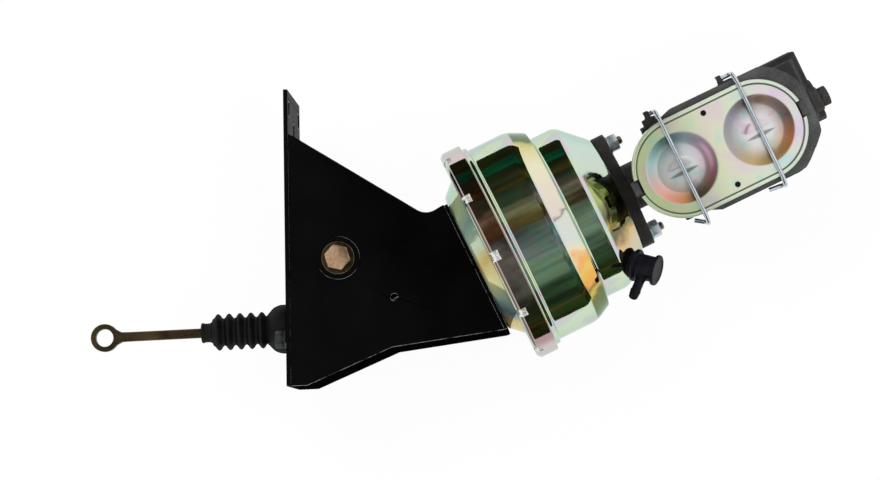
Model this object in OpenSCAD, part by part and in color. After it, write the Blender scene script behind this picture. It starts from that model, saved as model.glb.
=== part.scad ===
// Vacuum brake booster on a bell-crank firewall bracket, with its pedal rod and its
// dual reservoir master cylinder. All sizes are millimetres.
// The origin is the centre of the firewall bolt pattern on the rear face of the
// firewall plate. +X points away from the firewall, +Y up along it, and +Z to the side
// that the reservoir lid faces.

/* [Bracket] */
// Thickness of the firewall plate
firewall_t = 4; // [3:0.1:6]
// Thickness of the bracket's other steel plates
plate_t = 3.2; // [2.6:0.1:5]
// Height of the firewall plate
firewall_h = 263; // [258:0.5:290]
// Width of the bracket over its two side plates
bracket_w = 108; // [100:1:124]
// Height between the upper and the lower firewall slots
slot_rise = 232; // [216:1:240]
// Spacing of the firewall slots across the bracket
slot_gauge = 84; // [70:1:88]
// Width of a firewall slot
slot_w = 10.5; // [8:0.5:12]
// End-to-end length of a firewall slot
slot_len = 17; // [13:0.5:20]
// Height of the single middle slot above the centre
middle_slot_y = 101; // [80:1:104]
// Height at which the sides' upper edge leaves the firewall plate
side_top_y = 92.4; // [80:0.1:110]
// Place along the firewall's normal of the valley in the sides' upper edge
valley_x = 125.1; // [118:0.1:132]
// Height of that valley's corner
valley_y = 16.8; // [8:0.1:20]
// Radius that rounds the valley
valley_r = 15; // [5:1:20]
// First fold of the floor, along the firewall's normal
fold_a_x = 18.6; // [12:0.1:30]
// Height of the first fold
fold_a_y = -131.1; // [-132:0.1:-125]
// Second fold of the floor, along the firewall's normal
fold_b_x = 93.4; // [80:0.1:110]
// Height of the second fold
fold_b_y = -99; // [-108:0.1:-98]
// Centre of the small hole in the near side, along the firewall's normal
small_hole_x = 96.2; // [90:0.1:120]
// Height of the small hole
small_hole_y = -55.2; // [-70:0.1:-40]
// Radius of the small hole
small_hole_r = 3.4; // [2:0.1:6]

/* [Booster seat] */
// Centre of the booster plate's front face, along the firewall's normal
seat_x = 166.8; // [160:0.1:172]
// Height of that centre
seat_y = -22.6; // [-28:0.1:-20]
// Angle of the booster's axis above the firewall's normal
seat_angle = 25.04; // [22:0.02:27]
// Turn of the booster about its own axis
booster_roll = 8.3; // [0:0.1:12]
// Length of the booster plate above the booster's axis
seat_up = 53.9; // [53:0.1:60]
// Length of the booster plate below the booster's axis, where the floor meets it
seat_floor = 67.9; // [64:0.1:72]
// Radius of the booster plate's central hole
seat_hole_r = 30; // [27:0.5:34]

/* [Bell crank] */
// Pivot bolt, along the firewall's normal
pivot_x = 47.2; // [44:0.1:52]
// Height of the pivot bolt
pivot_y = -19.6; // [-24:0.1:-16]
// Swing of the bell crank from rest to full stroke, in degrees
swing = 28; // [20:1:30]
// Radius of the pivot bolt's shank
pivot_r = 6.35; // [5:0.05:7]
// Size of the pivot bolt's head across its flats
pivot_af = 20.6; // [17:0.1:22]
// Height of the pivot bolt's head
pivot_head_h = 8; // [6:0.2:10]
// Outer radius of the pivot washers
washer_r = 14.4; // [13:0.1:16]
// Thickness of the pivot washers
washer_t = 2.4; // [1.6:0.1:3]
// Outer radius of the reinforcing rings
ring_r = 19; // [17:0.5:24]
// Thickness of the reinforcing rings
ring_t = 2.4; // [1.5:0.1:4]
// Outer radius of the pivot sleeve
sleeve_r = 9.5; // [8.5:0.1:10.5]
// Wall of a bushing
bushing_t = 1.6; // [1:0.1:2.2]
// Length of a bushing
bushing_len = 22; // [12:1:30]
// Outer radius of the lever's hub
hub_r = 15; // [14:0.5:18]
// Thickness of the lever
lever_t = 8; // [6:0.5:10]
// Radius of the lever around each of its two slots
lobe_r = 10.5; // [9:0.5:11.5]

/* [Rods] */
// Height of the pedal rod where it crosses the firewall plate's rear face
rod_y = -78.1; // [-80:0.1:-75]
// Rise of the pedal rod, in degrees
rod_angle = 1.73; // [0:0.01:3]
// Radius of the pedal rod
rod_r = 4.35; // [4:0.05:5]
// Distance of the eye's centre from the firewall plate
eye_x = 169.5; // [150:0.5:190]
// Outer radius of the eye
eye_r = 12.5; // [12:0.1:15]
// Radius of the eye's hole
eye_hole_r = 8; // [6:0.05:9]
// Thickness of the eye
eye_t = 7; // [5:0.5:8]
// Length of the forged flat behind the eye
flat_len = 34; // [28:1:45]
// Radius of the fork pins
pin_r = 4; // [3:0.1:4.5]
// Thickness of a fork's ear
ear_t = 5; // [4:0.5:6]
// Half height of a fork
fork_h = 8; // [7:0.5:9]
// Depth of a fork from its pin to the bottom of its gap
fork_depth = 17; // [16.5:0.5:19]
// Length of the solid part of a fork
fork_len = 12; // [10:0.5:13]
// Radius of the booster's input rod
input_r = 5; // [4.2:0.1:5.5]
// Size of the jam nuts across their flats
jam_af = 14; // [12:0.5:15]
// Height of the jam nuts
jam_h = 6; // [4:0.5:7]

/* [Boot] */
// Radius of the boot's folds
fold_r = 16.5; // [15:0.1:18]
// Radius of the valleys between the folds
valley_fold_r = 12.2; // [11.8:0.1:13]
// Number of folds
folds = 5; // [3:1:6]
// Distance between two folds
fold_pitch = 9.85; // [8:0.05:11]
// Distance of the last fold's foot from the firewall plate
fold_foot = 21.75; // [20:0.05:26]
// Length of the cuff on the rod
cuff_len = 10.5; // [8:0.5:14]
// Outer radius of the cuff
cuff_r = 9; // [8:0.1:10]
// Outer radius of the boot's flange
boot_flange_r = 22; // [20.5:0.5:22.5]
// Thickness of the boot's flange
boot_flange_t = 6; // [4:0.5:8]
// Thickness of the boot's rubber
boot_t = 1.8; // [1.2:0.1:2]
// Radius of the hole in the firewall plate that the rod passes
boot_hole_r = 18; // [17:0.5:18.5]
// Thickness of the boot retainer
retainer_t = 2.4; // [1.5:0.1:3]
// Distance of the retainer's bolts from the rod's axis, across the bracket
retainer_bolt_z = 29; // [28.5:0.5:32]
// Distance of the retainer's bolts from the rod's axis, up and down
retainer_bolt_y = 11; // [10:0.5:13]
// Radius of the retainer's bolts
retainer_bolt_r = 4; // [3:0.1:5]
// Size of the retainer bolts' heads across their flats
retainer_af = 14; // [12:0.5:15]
// Height of the retainer bolts' heads
retainer_head_h = 8; // [5:0.5:9]

/* [Booster shells] */
// Thickness of the stamped shells
shell_t = 1.5; // [1:0.1:2]
// Outer radius of the crimped rim
rim_r = 101.7; // [98:0.1:106]
// Distance of the rim's rear edge from the booster plate
rim_u = 12.2; // [11:0.1:16]
// Width of the crimped rim
rim_w = 20.5; // [19.5:0.1:22]
// Bevel of the rim's rear edge
rim_bevel = 3.3; // [3:0.1:4]
// Number of crimp lances around the rim
lances = 11; // [8:1:16]
// Turn of the ring of lances away from the booster's upward axis, degrees
lance_turn = 2.5; // [0:0.5:30]
// Size of a crimp lance
lance_w = 7.5; // [6:0.5:10]
// Depth of a crimp lance
lance_d = 0.9; // [0.4:0.1:1.2]
// Radius of the rear shell's flat back
back_r = 64.5; // [60:0.5:66]
// Step from the rim inwards to the place where the rear shell enters it
rear_step = 24.2; // [20:0.1:26]
// Step from the rim inwards to the front shell's drum
drum_step = 7.5; // [7:0.1:9]
// Distance of the shoulder's start from the booster plate
shoulder_u = 75.1; // [73:0.1:78]
// Fall of the shoulder over its length
shoulder_fall = 8.3; // [6:0.1:10]
// Distance of the step from the booster plate
step_u = 90.8; // [88:0.1:94]
// Step inwards from the shoulder's end to the nose
nose_step = 7.1; // [5:0.1:9]
// Distance of the front cone's start from the booster plate
cone_u = 115.4; // [112:0.1:118]
// Fall of the front cone over its length
cone_fall = 20.7; // [19:0.1:22]
// Length of the front cone
cone_len = 21.3; // [20:0.1:24]
// Distance of the shell's flat front from the booster plate
front_u = 140.2; // [139:0.1:146]

/* [Booster inside] */
// Radius of the sliding valve body
valve_body_r = 19; // [18:0.1:20]
// Length of the valve body behind the booster plate
valve_body_back = 28; // [24:1:34]
// Width of the diaphragm beads clamped in the rim
bead_w = 7.2; // [6:0.1:7.6]
// Thickness of a diaphragm
membrane_t = 2; // [1.2:0.1:2]
// Step inwards from the drum to the divider's skirt
divider_step = 8.2; // [7.4:0.1:9]
// Distance of the divider's face from the booster plate
divider_u = 56; // [54:0.5:58]
// Step inwards from the divider's skirt to the rear diaphragm plate
rear_plate_step = 10; // [6:0.5:16]
// Step inwards from the nose to the front diaphragm plate
front_plate_step = 8; // [6:0.5:16]
// Travel that the input rod makes before the valve body follows
lost_motion = 1.5; // [0.5:0.1:1.7]
// Radius of the return spring's turns
return_spring_r = 27; // [25:0.5:32]
// Radius of the return spring's wire
return_wire_r = 1.8; // [1.2:0.1:2.2]
// Radius of the output rod
output_r = 5; // [4:0.1:5.5]

/* [Studs] */
// Spacing of the two master cylinder studs
stud_gap = 85.72; // [82:0.02:90]
// Radius of all studs
stud_r = 4; // [3:0.1:4.6]
// Spacing up the booster plate of the four rear studs
rear_stud_gap = 76; // [70:0.5:78]
// Spacing across the booster plate of the four rear studs
rear_stud_w = 63.5; // [58:0.5:66]
// Size of the stud nuts across their flats
nut_af = 14.3; // [13:0.1:15]
// Height of the stud nuts
nut_h = 8; // [6:0.2:9]
// Thickness of the stud washers
nut_washer_t = 1.6; // [1:0.1:2]
// Length of a stud beyond its nut
stud_tail = 4; // [3:0.5:9]

/* [Check valve] */
// Distance of the check valve from the booster plate
check_u = 122.4; // [122:0.1:129]
// Turn of the check valve about the booster's axis, in degrees
check_turn = 36; // [0:1:45]
// Radius of the valve's stem in its grommet
stem_r = 7; // [6.5:0.1:7.4]
// Radius of the ring that rests on the grommet
check_ring_r = 14.4; // [12:0.1:16]
// Thickness of that ring
check_ring_t = 5.1; // [3:0.1:6]
// Radius of the valve's body
check_r = 11.3; // [10:0.1:12]
// Length of the valve's body
check_len = 20.4; // [18:0.1:24]
// Radius of the valve's cap
cap_r = 13.7; // [12:0.1:16]
// Thickness of the valve's cap
cap_t = 3; // [2.6:0.1:5]
// Radius of the hose nozzle
nozzle_r = 4.25; // [3.5:0.05:5]
// Distance of the nozzle's tip from the valve's axis
nozzle_len = 31.8; // [26:0.1:36]
// Outer radius of the grommet
grommet_r = 12; // [11.2:0.1:13]

/* [Master cylinder] */
// Thickness of the mounting flange
flange_t = 12.5; // [11:0.1:14]
// Radius of the flange's ends around the studs
flange_end_r = 11.4; // [10.5:0.1:12.5]
// Half height of the flange at its middle
flange_mid = 24; // [22:0.5:27]
// Outer radius of the barrel
barrel_r = 21.2; // [18:0.1:23]
// Radius of the bore
bore_r = 12.7; // [11:0.05:13.5]
// Distance of the barrel's front face from the booster plate
cast_front_u = 334.2; // [332:0.2:338]
// Distance of the lid's centre from the booster plate
lid_u = 235; // [232:0.1:240]
// Length of the lid
lid_len = 161.8; // [154:0.2:166]
// Width of the lid
lid_w = 89.4; // [86:0.2:92]
// Height of the lid's top above the bore's axis
lid_top = 70.1; // [68:0.1:76]
// Thickness of the lid's sheet
lid_t = 1.5; // [1:0.1:2]
// Height of the lid's rim
lid_rim_h = 8; // [6:0.5:10]
// Distance between the lid's two dishes
dish_gap = 74.9; // [70:0.1:78]
// Radius of a dish
dish_r = 31.4; // [28:0.2:33]
// Depth of a dish
dish_depth = 4; // [2:0.2:5]
// Radius of the two dark vent holes
vent_r = 2.6; // [1.5:0.1:3.5]
// Distance of a vent hole from the lid's middle line
vent_v = 34.6; // [32:0.2:36]
// Thickness of the lid gasket
gasket_t = 1.8; // [1:0.1:2.4]
// Width of the casting under the lid
cast_w = 100.4; // [98:0.2:108]
// Wall of the reservoir
wall = 5; // [4:0.2:6]
// Height of the reservoir's floor above the bore's axis
tank_floor = 26; // [24:0.5:30]
// Distance that the reservoir's rear end stands back from the lid's
tank_back = 7; // [4:0.5:8]
// Thickness of the web between the two chambers
web_t = 6; // [4:0.5:8]
// Size of the front plug across its flats
plug_af = 17.5; // [15:0.5:19]
// Size of the side plug across its flats
side_plug_af = 13; // [11:0.5:15]
// Radius of a brake line port's thread
port_r = 5; // [4:0.1:6]
// Depth of a brake line port
port_depth = 12; // [10:0.5:13]
// Distance of the rear port from the booster plate
rear_port_u = 196; // [188:1:204]
// Distance of the rear port's face from the bore's axis
rear_port_v = 43.5; // [42:0.5:46]
// Distance of the front port from the booster plate
front_port_u = 321.4; // [318:0.1:324]
// Distance of the front port's face from the bore's axis
front_port_v = 46.2; // [44:0.1:49]

/* [Bails] */
// Radius of the bails' wire
wire_r = 2; // [1.5:0.1:2.4]
// Distance of the bails' legs from the casting's sides
leg_out = 4; // [3.6:0.1:6]
// Height of the bails' ends above the bore's axis
leg_w = 52; // [50:0.5:54]
// Length of the rear bail's bent ends
rear_hook = 9.3; // [8.5:0.1:11]
// Length of the front bail's bent ends
front_hook = 13.5; // [11:0.1:15]
// Inward lean of the rear bail's free hook
rear_lean = 6.5; // [0:0.1:6.8]
// Inward lean of the front bail's free hook
front_lean = 1.4; // [0:0.1:1.4]
// Distance that a bail crosses in front of its dish's centre
bail_shift = 0.5; // [0:0.1:6]

/* [Hidden] */
$fn = 64;

// Running clearance of a shaft in its hole, on the radius
run = 0.05;
// Clearance between pieces that pass each other
gap = 0.3;
// Clearance of a bolt in its hole, on the radius
bolt_gap = 0.25;
// Overrun of a cut past the face that it opens
over = 1;
// The same for a cut that is tilted to the face
tilt_over = 3;
// Longer than anything that is cut in two
far = 400;

half_w = bracket_w / 2;
inner_w = half_w - plate_t;

// Radii of the booster's shells, each from the one before it
rear_r = rim_r - rear_step;
drum_r = rim_r - drum_step;
shoulder_r = drum_r - shoulder_fall;
nose_r = shoulder_r - nose_step;
cone_r = nose_r - cone_fall;
divider_r = drum_r - divider_step;
rear_plate_r = divider_r - rear_plate_step;
front_plate_r = nose_r - front_plate_step;
cos_seat = cos(seat_angle);
sin_seat = sin(seat_angle);

// A point of the plane through the booster's axis, from its place in the seat's frame
function seat_point(u, v) = [
    seat_x + u * cos_seat - v * sin_seat,
    seat_y + u * sin_seat + v * cos_seat
];

// The pivot as the rod and the booster see it: its foot along each line and its arm
rod_foot = pivot_x * cos(rod_angle) + (pivot_y - rod_y) * sin(rod_angle);
rod_arm = (pivot_y - rod_y) * cos(rod_angle) - pivot_x * sin(rod_angle);
crank_foot = (pivot_x - seat_x) * cos_seat + (pivot_y - seat_y) * sin_seat;
crank_arm = (pivot_y - seat_y) * cos_seat - (pivot_x - seat_x) * sin_seat;
rod_pin = rod_foot - rod_arm * tan(swing / 2);
crank_pin = crank_foot - crank_arm * tan(swing / 2);
input_travel = 2 * crank_arm * tan(swing / 2);
power_travel = input_travel - lost_motion;
rod_pin_angle = rod_angle - 90 - swing / 2;
crank_pin_angle = seat_angle - 90 - swing / 2;

// Corners of a cross-section's stack inside the crimped rim, from the rear
rim_in_r = rim_r - shell_t;
// Bevel of everything that lies inside the rim's bevelled edge
bevel_drop = 0.9;
lip_bevel = rim_bevel - bevel_drop;
lip_u = rim_u + shell_t;
rear_bead_u = lip_u + shell_t;
divider_rim_u = rear_bead_u + bead_w;
front_bead_u = divider_rim_u + shell_t;
rim_end_u = rim_u + rim_w;
front_bead_w = rim_end_u - shell_t - front_bead_u;
bead_out_r = rim_in_r - gap;
bead_in_r = drum_r + gap;

// Places along the booster's axis
membrane_u = rear_bead_u + (bead_w - membrane_t) / 2;
rear_plate_u = membrane_u + membrane_t;
membrane_gap = 6;
front_membrane_u = divider_u + membrane_gap;
front_plate_u = front_membrane_u + membrane_t;
disc_back = 4;
disc_u = front_plate_u - disc_back;
disc_t = 6;
disc_r = 12;
rod_head_t = 6;
valve_body_front = disc_u + disc_t + rod_head_t;
plunger_r = 7;
plunger_u = 14;
collar_len = 10;
collar_r = 24;

// Master cylinder places along the booster's axis
flange_front_u = front_u + flange_t;
pilot_len = 9;
pilot_r = 16.5;
snap_depth = 5;
snap_u = flange_front_u - snap_depth;
snap_t = 1.6;
snap_groove = 1.4;
snap_groove_r = bore_r + snap_groove;
primary_u = snap_u + snap_t;
primary_len = 54;
end_wall = 5;
bore_end_u = cast_front_u - end_wall;
secondary_len = 48;
piston_gap = 10;
secondary_u = primary_u + primary_len + power_travel + piston_gap;
pocket_depth = 17;
output_tip_u = primary_u + pocket_depth;
lip_w = lid_top - lid_t - gasket_t;
lip_clear = 0.6;
lip_half = lid_w / 2 - lid_t - lip_clear;
lid_end = (lid_len - lid_w) / 2;
cast_top = lid_top - lid_rim_h - 1;
cast_top_t = 9;
tank_half = lip_half - 1;
tank_len = 2 * (lid_end + tank_half) - tank_back;
lip_foot = cast_top - cast_top_t;
fill_back = 4;
dish_rear_u = lid_u - dish_gap / 2;
dish_front_u = lid_u + dish_gap / 2;

// Places of repeated solids
signs = [-1, 1];

// Frames
module at_rod() {
    translate([0, rod_y, 0]) rotate([0, 0, rod_angle]) children();
}

module at_seat() {
    translate([seat_x, seat_y, 0]) rotate([0, 0, seat_angle]) children();
}

module at_booster() {
    at_seat() rotate([booster_roll, 0, 0]) children();
}

// Turns children drawn in a flat outline so that they are extruded along the axis
module along_axis(start, length) {
    translate([start, 0, 0]) rotate([90, 0, 90]) linear_extrude(length) children();
}

// A round bar along the axis
module bar(radius, start, end) {
    translate([start, 0, 0]) rotate([0, 90, 0]) cylinder(r = radius, h = end - start);
}

// A ring along the axis
module ring(outer, inner, start, end) {
    difference() {
        bar(outer, start, end);
        bar(inner, start - over, end + over);
    }
}

// Turns an outline of [radius, place along the axis] about the axis
module turned(outline) {
    rotate([0, 90, 0]) mirror([1, 0, 0]) rotate_extrude($fn = 96) polygon(outline);
}

// A hexagon bar along the axis
module hex_bar(across, start, end) {
    translate([start, 0, 0]) rotate([0, 90, 0])
        cylinder(r = across / 2 / cos(30), h = end - start, $fn = 6);
}

module hex_nut(across, hole, start, end) {
    difference() {
        hex_bar(across, start, end);
        bar(hole, start - over, end + over);
    }
}

// A bar with round ends, lying flat, from z to z + height
module stadium(length, width, z, height) {
    reach = (length - width) / 2;
    translate([0, 0, z]) {
        for (s = signs) translate([s * reach, 0, 0]) cylinder(r = width / 2, h = height);
        translate([-reach, -width / 2, 0]) cube([2 * reach, width, height]);
    }
}

// A wire wound about the axis, each ring of points square to the axis of its turn
coil_sides = 8;
coil_steps = 16;
module coil(radius, wire, start, end, turns) {
    rings = turns * coil_steps;
    rise = (end - start - 2 * wire) / rings;
    points = [
        for (i = [0 : rings]) for (k = [0 : coil_sides - 1])
            let (
                turn = 360 * i / coil_steps,
                side = 360 * k / coil_sides,
                reach = radius + wire * cos(side)
            )
            [start + wire + rise * i + wire * sin(side), reach * cos(turn), reach * sin(turn)]
    ];
    walls = [
        for (i = [0 : rings - 1]) for (k = [0 : coil_sides - 1])
            let (
                n = (k + 1) % coil_sides,
                a = i * coil_sides,
                b = a + coil_sides
            )
            [a + k, a + n, b + n, b + k]
    ];
    first = [for (k = [coil_sides - 1 : -1 : 0]) k];
    last = [for (k = [0 : coil_sides - 1]) rings * coil_sides + k];
    polyhedron(points, concat([first], walls, [last]));
}

// Points of the arc that rounds the corner b between a and c with radius r
function unit(p) = p / norm(p);
function corner_arc(a, b, c, r, steps) =
    let (
        to_a = unit(a - b),
        to_c = unit(c - b),
        half = acos(to_a * to_c) / 2,
        reach = r / tan(half),
        centre = b + unit(to_a + to_c) * r / sin(half),
        p = b + to_a * reach - centre,
        q = b + to_c * reach - centre,
        start = atan2(p[1], p[0]),
        sweep = ((atan2(q[1], q[0]) - start + 540) % 360) - 180
    )
    [for (i = [0 : steps]) centre + r * [
        cos(start + sweep * i / steps), sin(start + sweep * i / steps)]];

// Bracket

module slot(y, z) {
    translate([-over, y, z]) rotate([0, 90, 0]) {
        for (s = signs)
            translate([0, s * (slot_len - slot_w) / 2, 0])
                cylinder(r = slot_w / 2, h = firewall_t + 2 * over);
        translate([-slot_w / 2, (slot_w - slot_len) / 2, 0])
            cube([slot_w, slot_len - slot_w, firewall_t + 2 * over]);
    }
}

module firewall_plate() {
    color("#101012")
    difference() {
        translate([0, -firewall_h / 2, -half_w]) cube([firewall_t, firewall_h, bracket_w]);
        for (y = signs) for (z = signs) slot(y * slot_rise / 2, z * slot_gauge / 2);
        slot(middle_slot_y, 0);
        at_rod() bar(boot_hole_r, -tilt_over, firewall_t + tilt_over);
        at_rod() retainer_bolts()
            bar(retainer_bolt_r + bolt_gap, -tilt_over, firewall_t + tilt_over);
    }
}

side_foot = -firewall_h / 2;
// The sides' corner stands above the booster plate by this much
side_over = 1;
valley_steps = 10;
side_outline = concat(
    [[firewall_t, side_foot], [firewall_t, side_top_y]],
    corner_arc([firewall_t, side_top_y], [valley_x, valley_y], seat_point(-plate_t, seat_up + side_over),
        valley_r, valley_steps),
    [
        seat_point(-plate_t, seat_up + side_over), seat_point(-plate_t, -seat_floor),
        [fold_b_x, fold_b_y], [fold_a_x, fold_a_y]
    ]
);

module side_plate(z) {
    translate([0, 0, z]) difference() {
        linear_extrude(plate_t) polygon(side_outline);
        translate([pivot_x, pivot_y, -over])
            cylinder(r = pivot_r + bolt_gap, h = plate_t + 2 * over);
        translate([small_hole_x, small_hole_y, -over])
            cylinder(r = small_hole_r, h = plate_t + 2 * over);
    }
}

module bracket_side_near() {
    color("#0d0d0f") side_plate(inner_w);
}

module bracket_side_far() {
    color("#0d0d0f") side_plate(-half_w);
}

// The floor lies between the sides, its lower face level with their lower edges
floor_slope = 20;
floor_rise = plate_t / cos(floor_slope);
module bracket_floor() {
    lower = [
        [firewall_t, side_foot], [fold_a_x, fold_a_y], [fold_b_x, fold_b_y],
        seat_point(-plate_t, -seat_floor)
    ];
    end_slope = (lower[3][1] - lower[2][1]) / (lower[3][0] - lower[2][0]);
    end_shift = floor_rise / (cos_seat / sin_seat + end_slope);
    upper = [
        lower[3] + [-end_shift, floor_rise - end_shift * end_slope],
        lower[2] + [0, floor_rise], lower[1] + [0, floor_rise], lower[0] + [0, floor_rise]
    ];
    color("#0d0d0f")
    translate([0, 0, -inner_w]) linear_extrude(2 * inner_w) polygon(concat(lower, upper));
}

module booster_plate() {
    color("#0d0d0f")
    difference() {
        at_seat() translate([-plate_t, -seat_floor, -half_w])
            cube([plate_t, seat_up + seat_floor, bracket_w]);
        at_seat() bar(seat_hole_r, -plate_t - over, over);
        at_booster() rear_stud_places() bar(stud_r + bolt_gap, -plate_t - over, over);
    }
}

module at_pivot() {
    translate([pivot_x, pivot_y, 0]) children();
}

module flat_ring(outer, inner, z, height) {
    translate([0, 0, z]) difference() {
        cylinder(r = outer, h = height);
        translate([0, 0, -over]) cylinder(r = inner, h = height + 2 * over);
    }
}

module pivot_rings() {
    color("#121214")
    at_pivot() {
        flat_ring(ring_r, pivot_r + bolt_gap, half_w, ring_t);
        flat_ring(ring_r, pivot_r + bolt_gap, -half_w - ring_t, ring_t);
    }
}

washer_z = half_w + ring_t;
head_z = washer_z + washer_t;
module pivot_washers() {
    color("#b9a06a")
    at_pivot() {
        flat_ring(washer_r, pivot_r + bolt_gap, washer_z, washer_t);
        flat_ring(washer_r, pivot_r + bolt_gap, -head_z, washer_t);
    }
}

pivot_nut_h = 11;
pivot_tail = 4;
module pivot_bolt() {
    color("#c2a45e")
    at_pivot() {
        difference() {
            translate([0, 0, head_z])
                cylinder(r = pivot_af / 2 / cos(30), h = pivot_head_h, $fn = 6);
            translate([0, 0, head_z]) difference() {
                cylinder(r = pivot_af, h = pivot_head_h + over);
                translate([0, 0, -over])
                    cylinder(r1 = pivot_af / 2 + over + pivot_head_h, r2 = pivot_af / 2 - over,
                        h = pivot_head_h + 2 * over);
            }
        }
        translate([0, 0, -head_z - pivot_nut_h - pivot_tail])
            cylinder(r = pivot_r, h = 2 * head_z + pivot_nut_h + pivot_tail);
    }
}

module pivot_nut() {
    color("#c2a45e")
    at_pivot() translate([0, 0, -head_z - pivot_nut_h]) difference() {
        cylinder(r = pivot_af / 2 / cos(30), h = pivot_nut_h, $fn = 6);
        translate([0, 0, -over]) cylinder(r = pivot_r + run, h = pivot_nut_h + 2 * over);
    }
}

module pivot_sleeve() {
    color("#8d8f93")
    at_pivot() flat_ring(sleeve_r, pivot_r + bolt_gap, -inner_w, 2 * inner_w);
}

// Bell crank

hub_half = inner_w - gap;
bushing_r = sleeve_r + run + bushing_t;
// Side clearance of a pin in the lever's slot, which takes up the arc that the lever makes
slot_gap = 0.25;

// A point at a distance and an angle from the pivot
function polar(r, angle) = r * [cos(angle), sin(angle)];
module lever_slot(arm, angle) {
    long_arm = arm / cos(swing / 2);
    rotate([0, 0, angle]) {
        for (x = [arm - gap, long_arm + gap])
            translate([x, 0, -lever_t]) cylinder(r = pin_r + slot_gap, h = 2 * lever_t);
        translate([arm - gap, -pin_r - slot_gap, -lever_t])
            cube([long_arm - arm + 2 * gap, 2 * (pin_r + slot_gap), 2 * lever_t]);
    }
}

module bellcrank() {
    long_rod_arm = rod_arm / cos(swing / 2);
    long_crank_arm = crank_arm / cos(swing / 2);
    rod_end = polar(long_rod_arm, rod_pin_angle);
    crank_end = polar(long_crank_arm, crank_pin_angle);
    web = [
        polar(hub_r, rod_pin_angle - 90), rod_end + polar(lobe_r, rod_pin_angle - 90),
        rod_end, crank_end,
        crank_end + polar(lobe_r, crank_pin_angle + 90), polar(hub_r, crank_pin_angle + 90)
    ];
    color("#6c6f74")
    at_pivot() difference() {
        union() {
            translate([0, 0, -hub_half]) cylinder(r = hub_r, h = 2 * hub_half);
            translate([0, 0, -lever_t / 2]) {
                linear_extrude(lever_t) polygon(web);
                for (end = [rod_end, crank_end]) translate(end) cylinder(r = lobe_r, h = lever_t);
            }
        }
        translate([0, 0, -half_w]) cylinder(r = bushing_r - bushing_t + 1, h = bracket_w);
        for (s = signs) translate([0, 0, s * (hub_half - bushing_len / 2)])
            cylinder(r = bushing_r, h = bushing_len + gap, center = true);
        lever_slot(rod_arm, rod_pin_angle);
        lever_slot(crank_arm, crank_pin_angle);
    }
}

module bellcrank_bushings() {
    color("#b08a4a")
    at_pivot() for (s = signs)
        flat_ring(bushing_r, sleeve_r + run, s * (hub_half - bushing_len / 2) - bushing_len / 2, bushing_len);
}

// Forks, pins and jam nuts. A fork's pin is at the frame's origin and its stem points
// along +X; the lever turns in its gap.

ear_z = lever_t / 2 + 0.5;
fork_half = ear_z + ear_t;
module fork(rod_radius) {
    stem = fork_depth + fork_len;
    difference() {
        union() {
            for (z = [-fork_half, ear_z]) translate([0, 0, z]) {
                cylinder(r = fork_h + 1, h = ear_t);
                translate([0, -fork_h, 0]) cube([stem, 2 * fork_h, ear_t]);
            }
            translate([fork_depth, -fork_h, -fork_half]) cube([fork_len, 2 * fork_h, 2 * fork_half]);
        }
        translate([0, 0, -fork_half - over]) cylinder(r = pin_r + run, h = 2 * (fork_half + over));
        bar(rod_radius + run, fork_depth - over, stem + over);
    }
}

module fork_pin() {
    head_t = 2.5;
    tail = 5;
    cotter_r = 1.1;
    cotter_len = 2 * pin_r + 5;
    translate([0, 0, fork_half]) cylinder(r = pin_r + 2, h = head_t);
    translate([0, 0, -fork_half - tail]) cylinder(r = pin_r, h = 2 * fork_half + tail + over / 2);
    translate([0, 0, -fork_half - tail / 2]) rotate([90, 0, 0])
        cylinder(r = cotter_r, h = cotter_len, center = true);
}

module pedal_fork() {
    color("#5f6266") at_rod() translate([rod_pin, 0, 0]) rotate([0, 0, 180]) fork(rod_r);
}

module pedal_pin() {
    color("#a8abb0") at_rod() translate([rod_pin, 0, 0]) rotate([0, 0, 180]) fork_pin();
}

pedal_stem_x = rod_pin - fork_depth - fork_len;
module pedal_jam_nut() {
    color("#8f9297") at_rod() hex_nut(jam_af, rod_r + run, pedal_stem_x - jam_h, pedal_stem_x);
}

input_stem_u = crank_pin + fork_depth + fork_len;
module input_fork() {
    color("#5f6266") at_booster() translate([crank_pin, 0, 0])
        rotate([-booster_roll, 0, 0]) fork(input_r);
}

module input_pin() {
    color("#a8abb0") at_booster() translate([crank_pin, 0, 0])
        rotate([-booster_roll, 0, 0]) fork_pin();
}

module input_jam_nut() {
    color("#8f9297") at_booster() hex_nut(jam_af, input_r + run, input_stem_u, input_stem_u + jam_h);
}

// The flat behind the eye narrows to the rod's width
module pedal_rod() {
    flat_w = 2 * rod_r;
    neck_x = -eye_x + flat_len;
    neck_half = flat_w / 2 - 0.4;
    foot_x = -eye_x + eye_r + 3;
    foot_half = eye_r * 0.75;
    color("#5c4a26")
    at_rod() {
        difference() {
            union() {
                translate([-eye_x, 0, -eye_t / 2]) cylinder(r = eye_r, h = eye_t);
                translate([0, 0, -eye_t / 2]) linear_extrude(eye_t) polygon([
                    [-eye_x + eye_r / 2, -foot_half], [foot_x, -flat_w / 2],
                    [neck_x, -neck_half], [neck_x, neck_half],
                    [foot_x, flat_w / 2], [-eye_x + eye_r / 2, foot_half]
                ]);
            }
            translate([-eye_x, 0, -eye_t]) cylinder(r = eye_hole_r, h = 2 * eye_t);
        }
        bar(rod_r, neck_x - flat_len / 2, rod_pin - fork_depth);
    }
}

// Boot. Its outline goes down the outside from the flange and back up the inside.

cuff_x = fold_foot + folds * fold_pitch;
steps_per_fold = 8;
mean_fold_r = (fold_r + valley_fold_r) / 2;
fold_depth = (fold_r - valley_fold_r) / 2;
function fold_outline(grow) = [
    for (i = [0 : folds * steps_per_fold])
        [mean_fold_r - fold_depth * cos(360 * i / steps_per_fold) + grow,
            -fold_foot - i * fold_pitch / steps_per_fold]
];
function reversed(list) = [for (i = [len(list) - 1 : -1 : 0]) list[i]];

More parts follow.
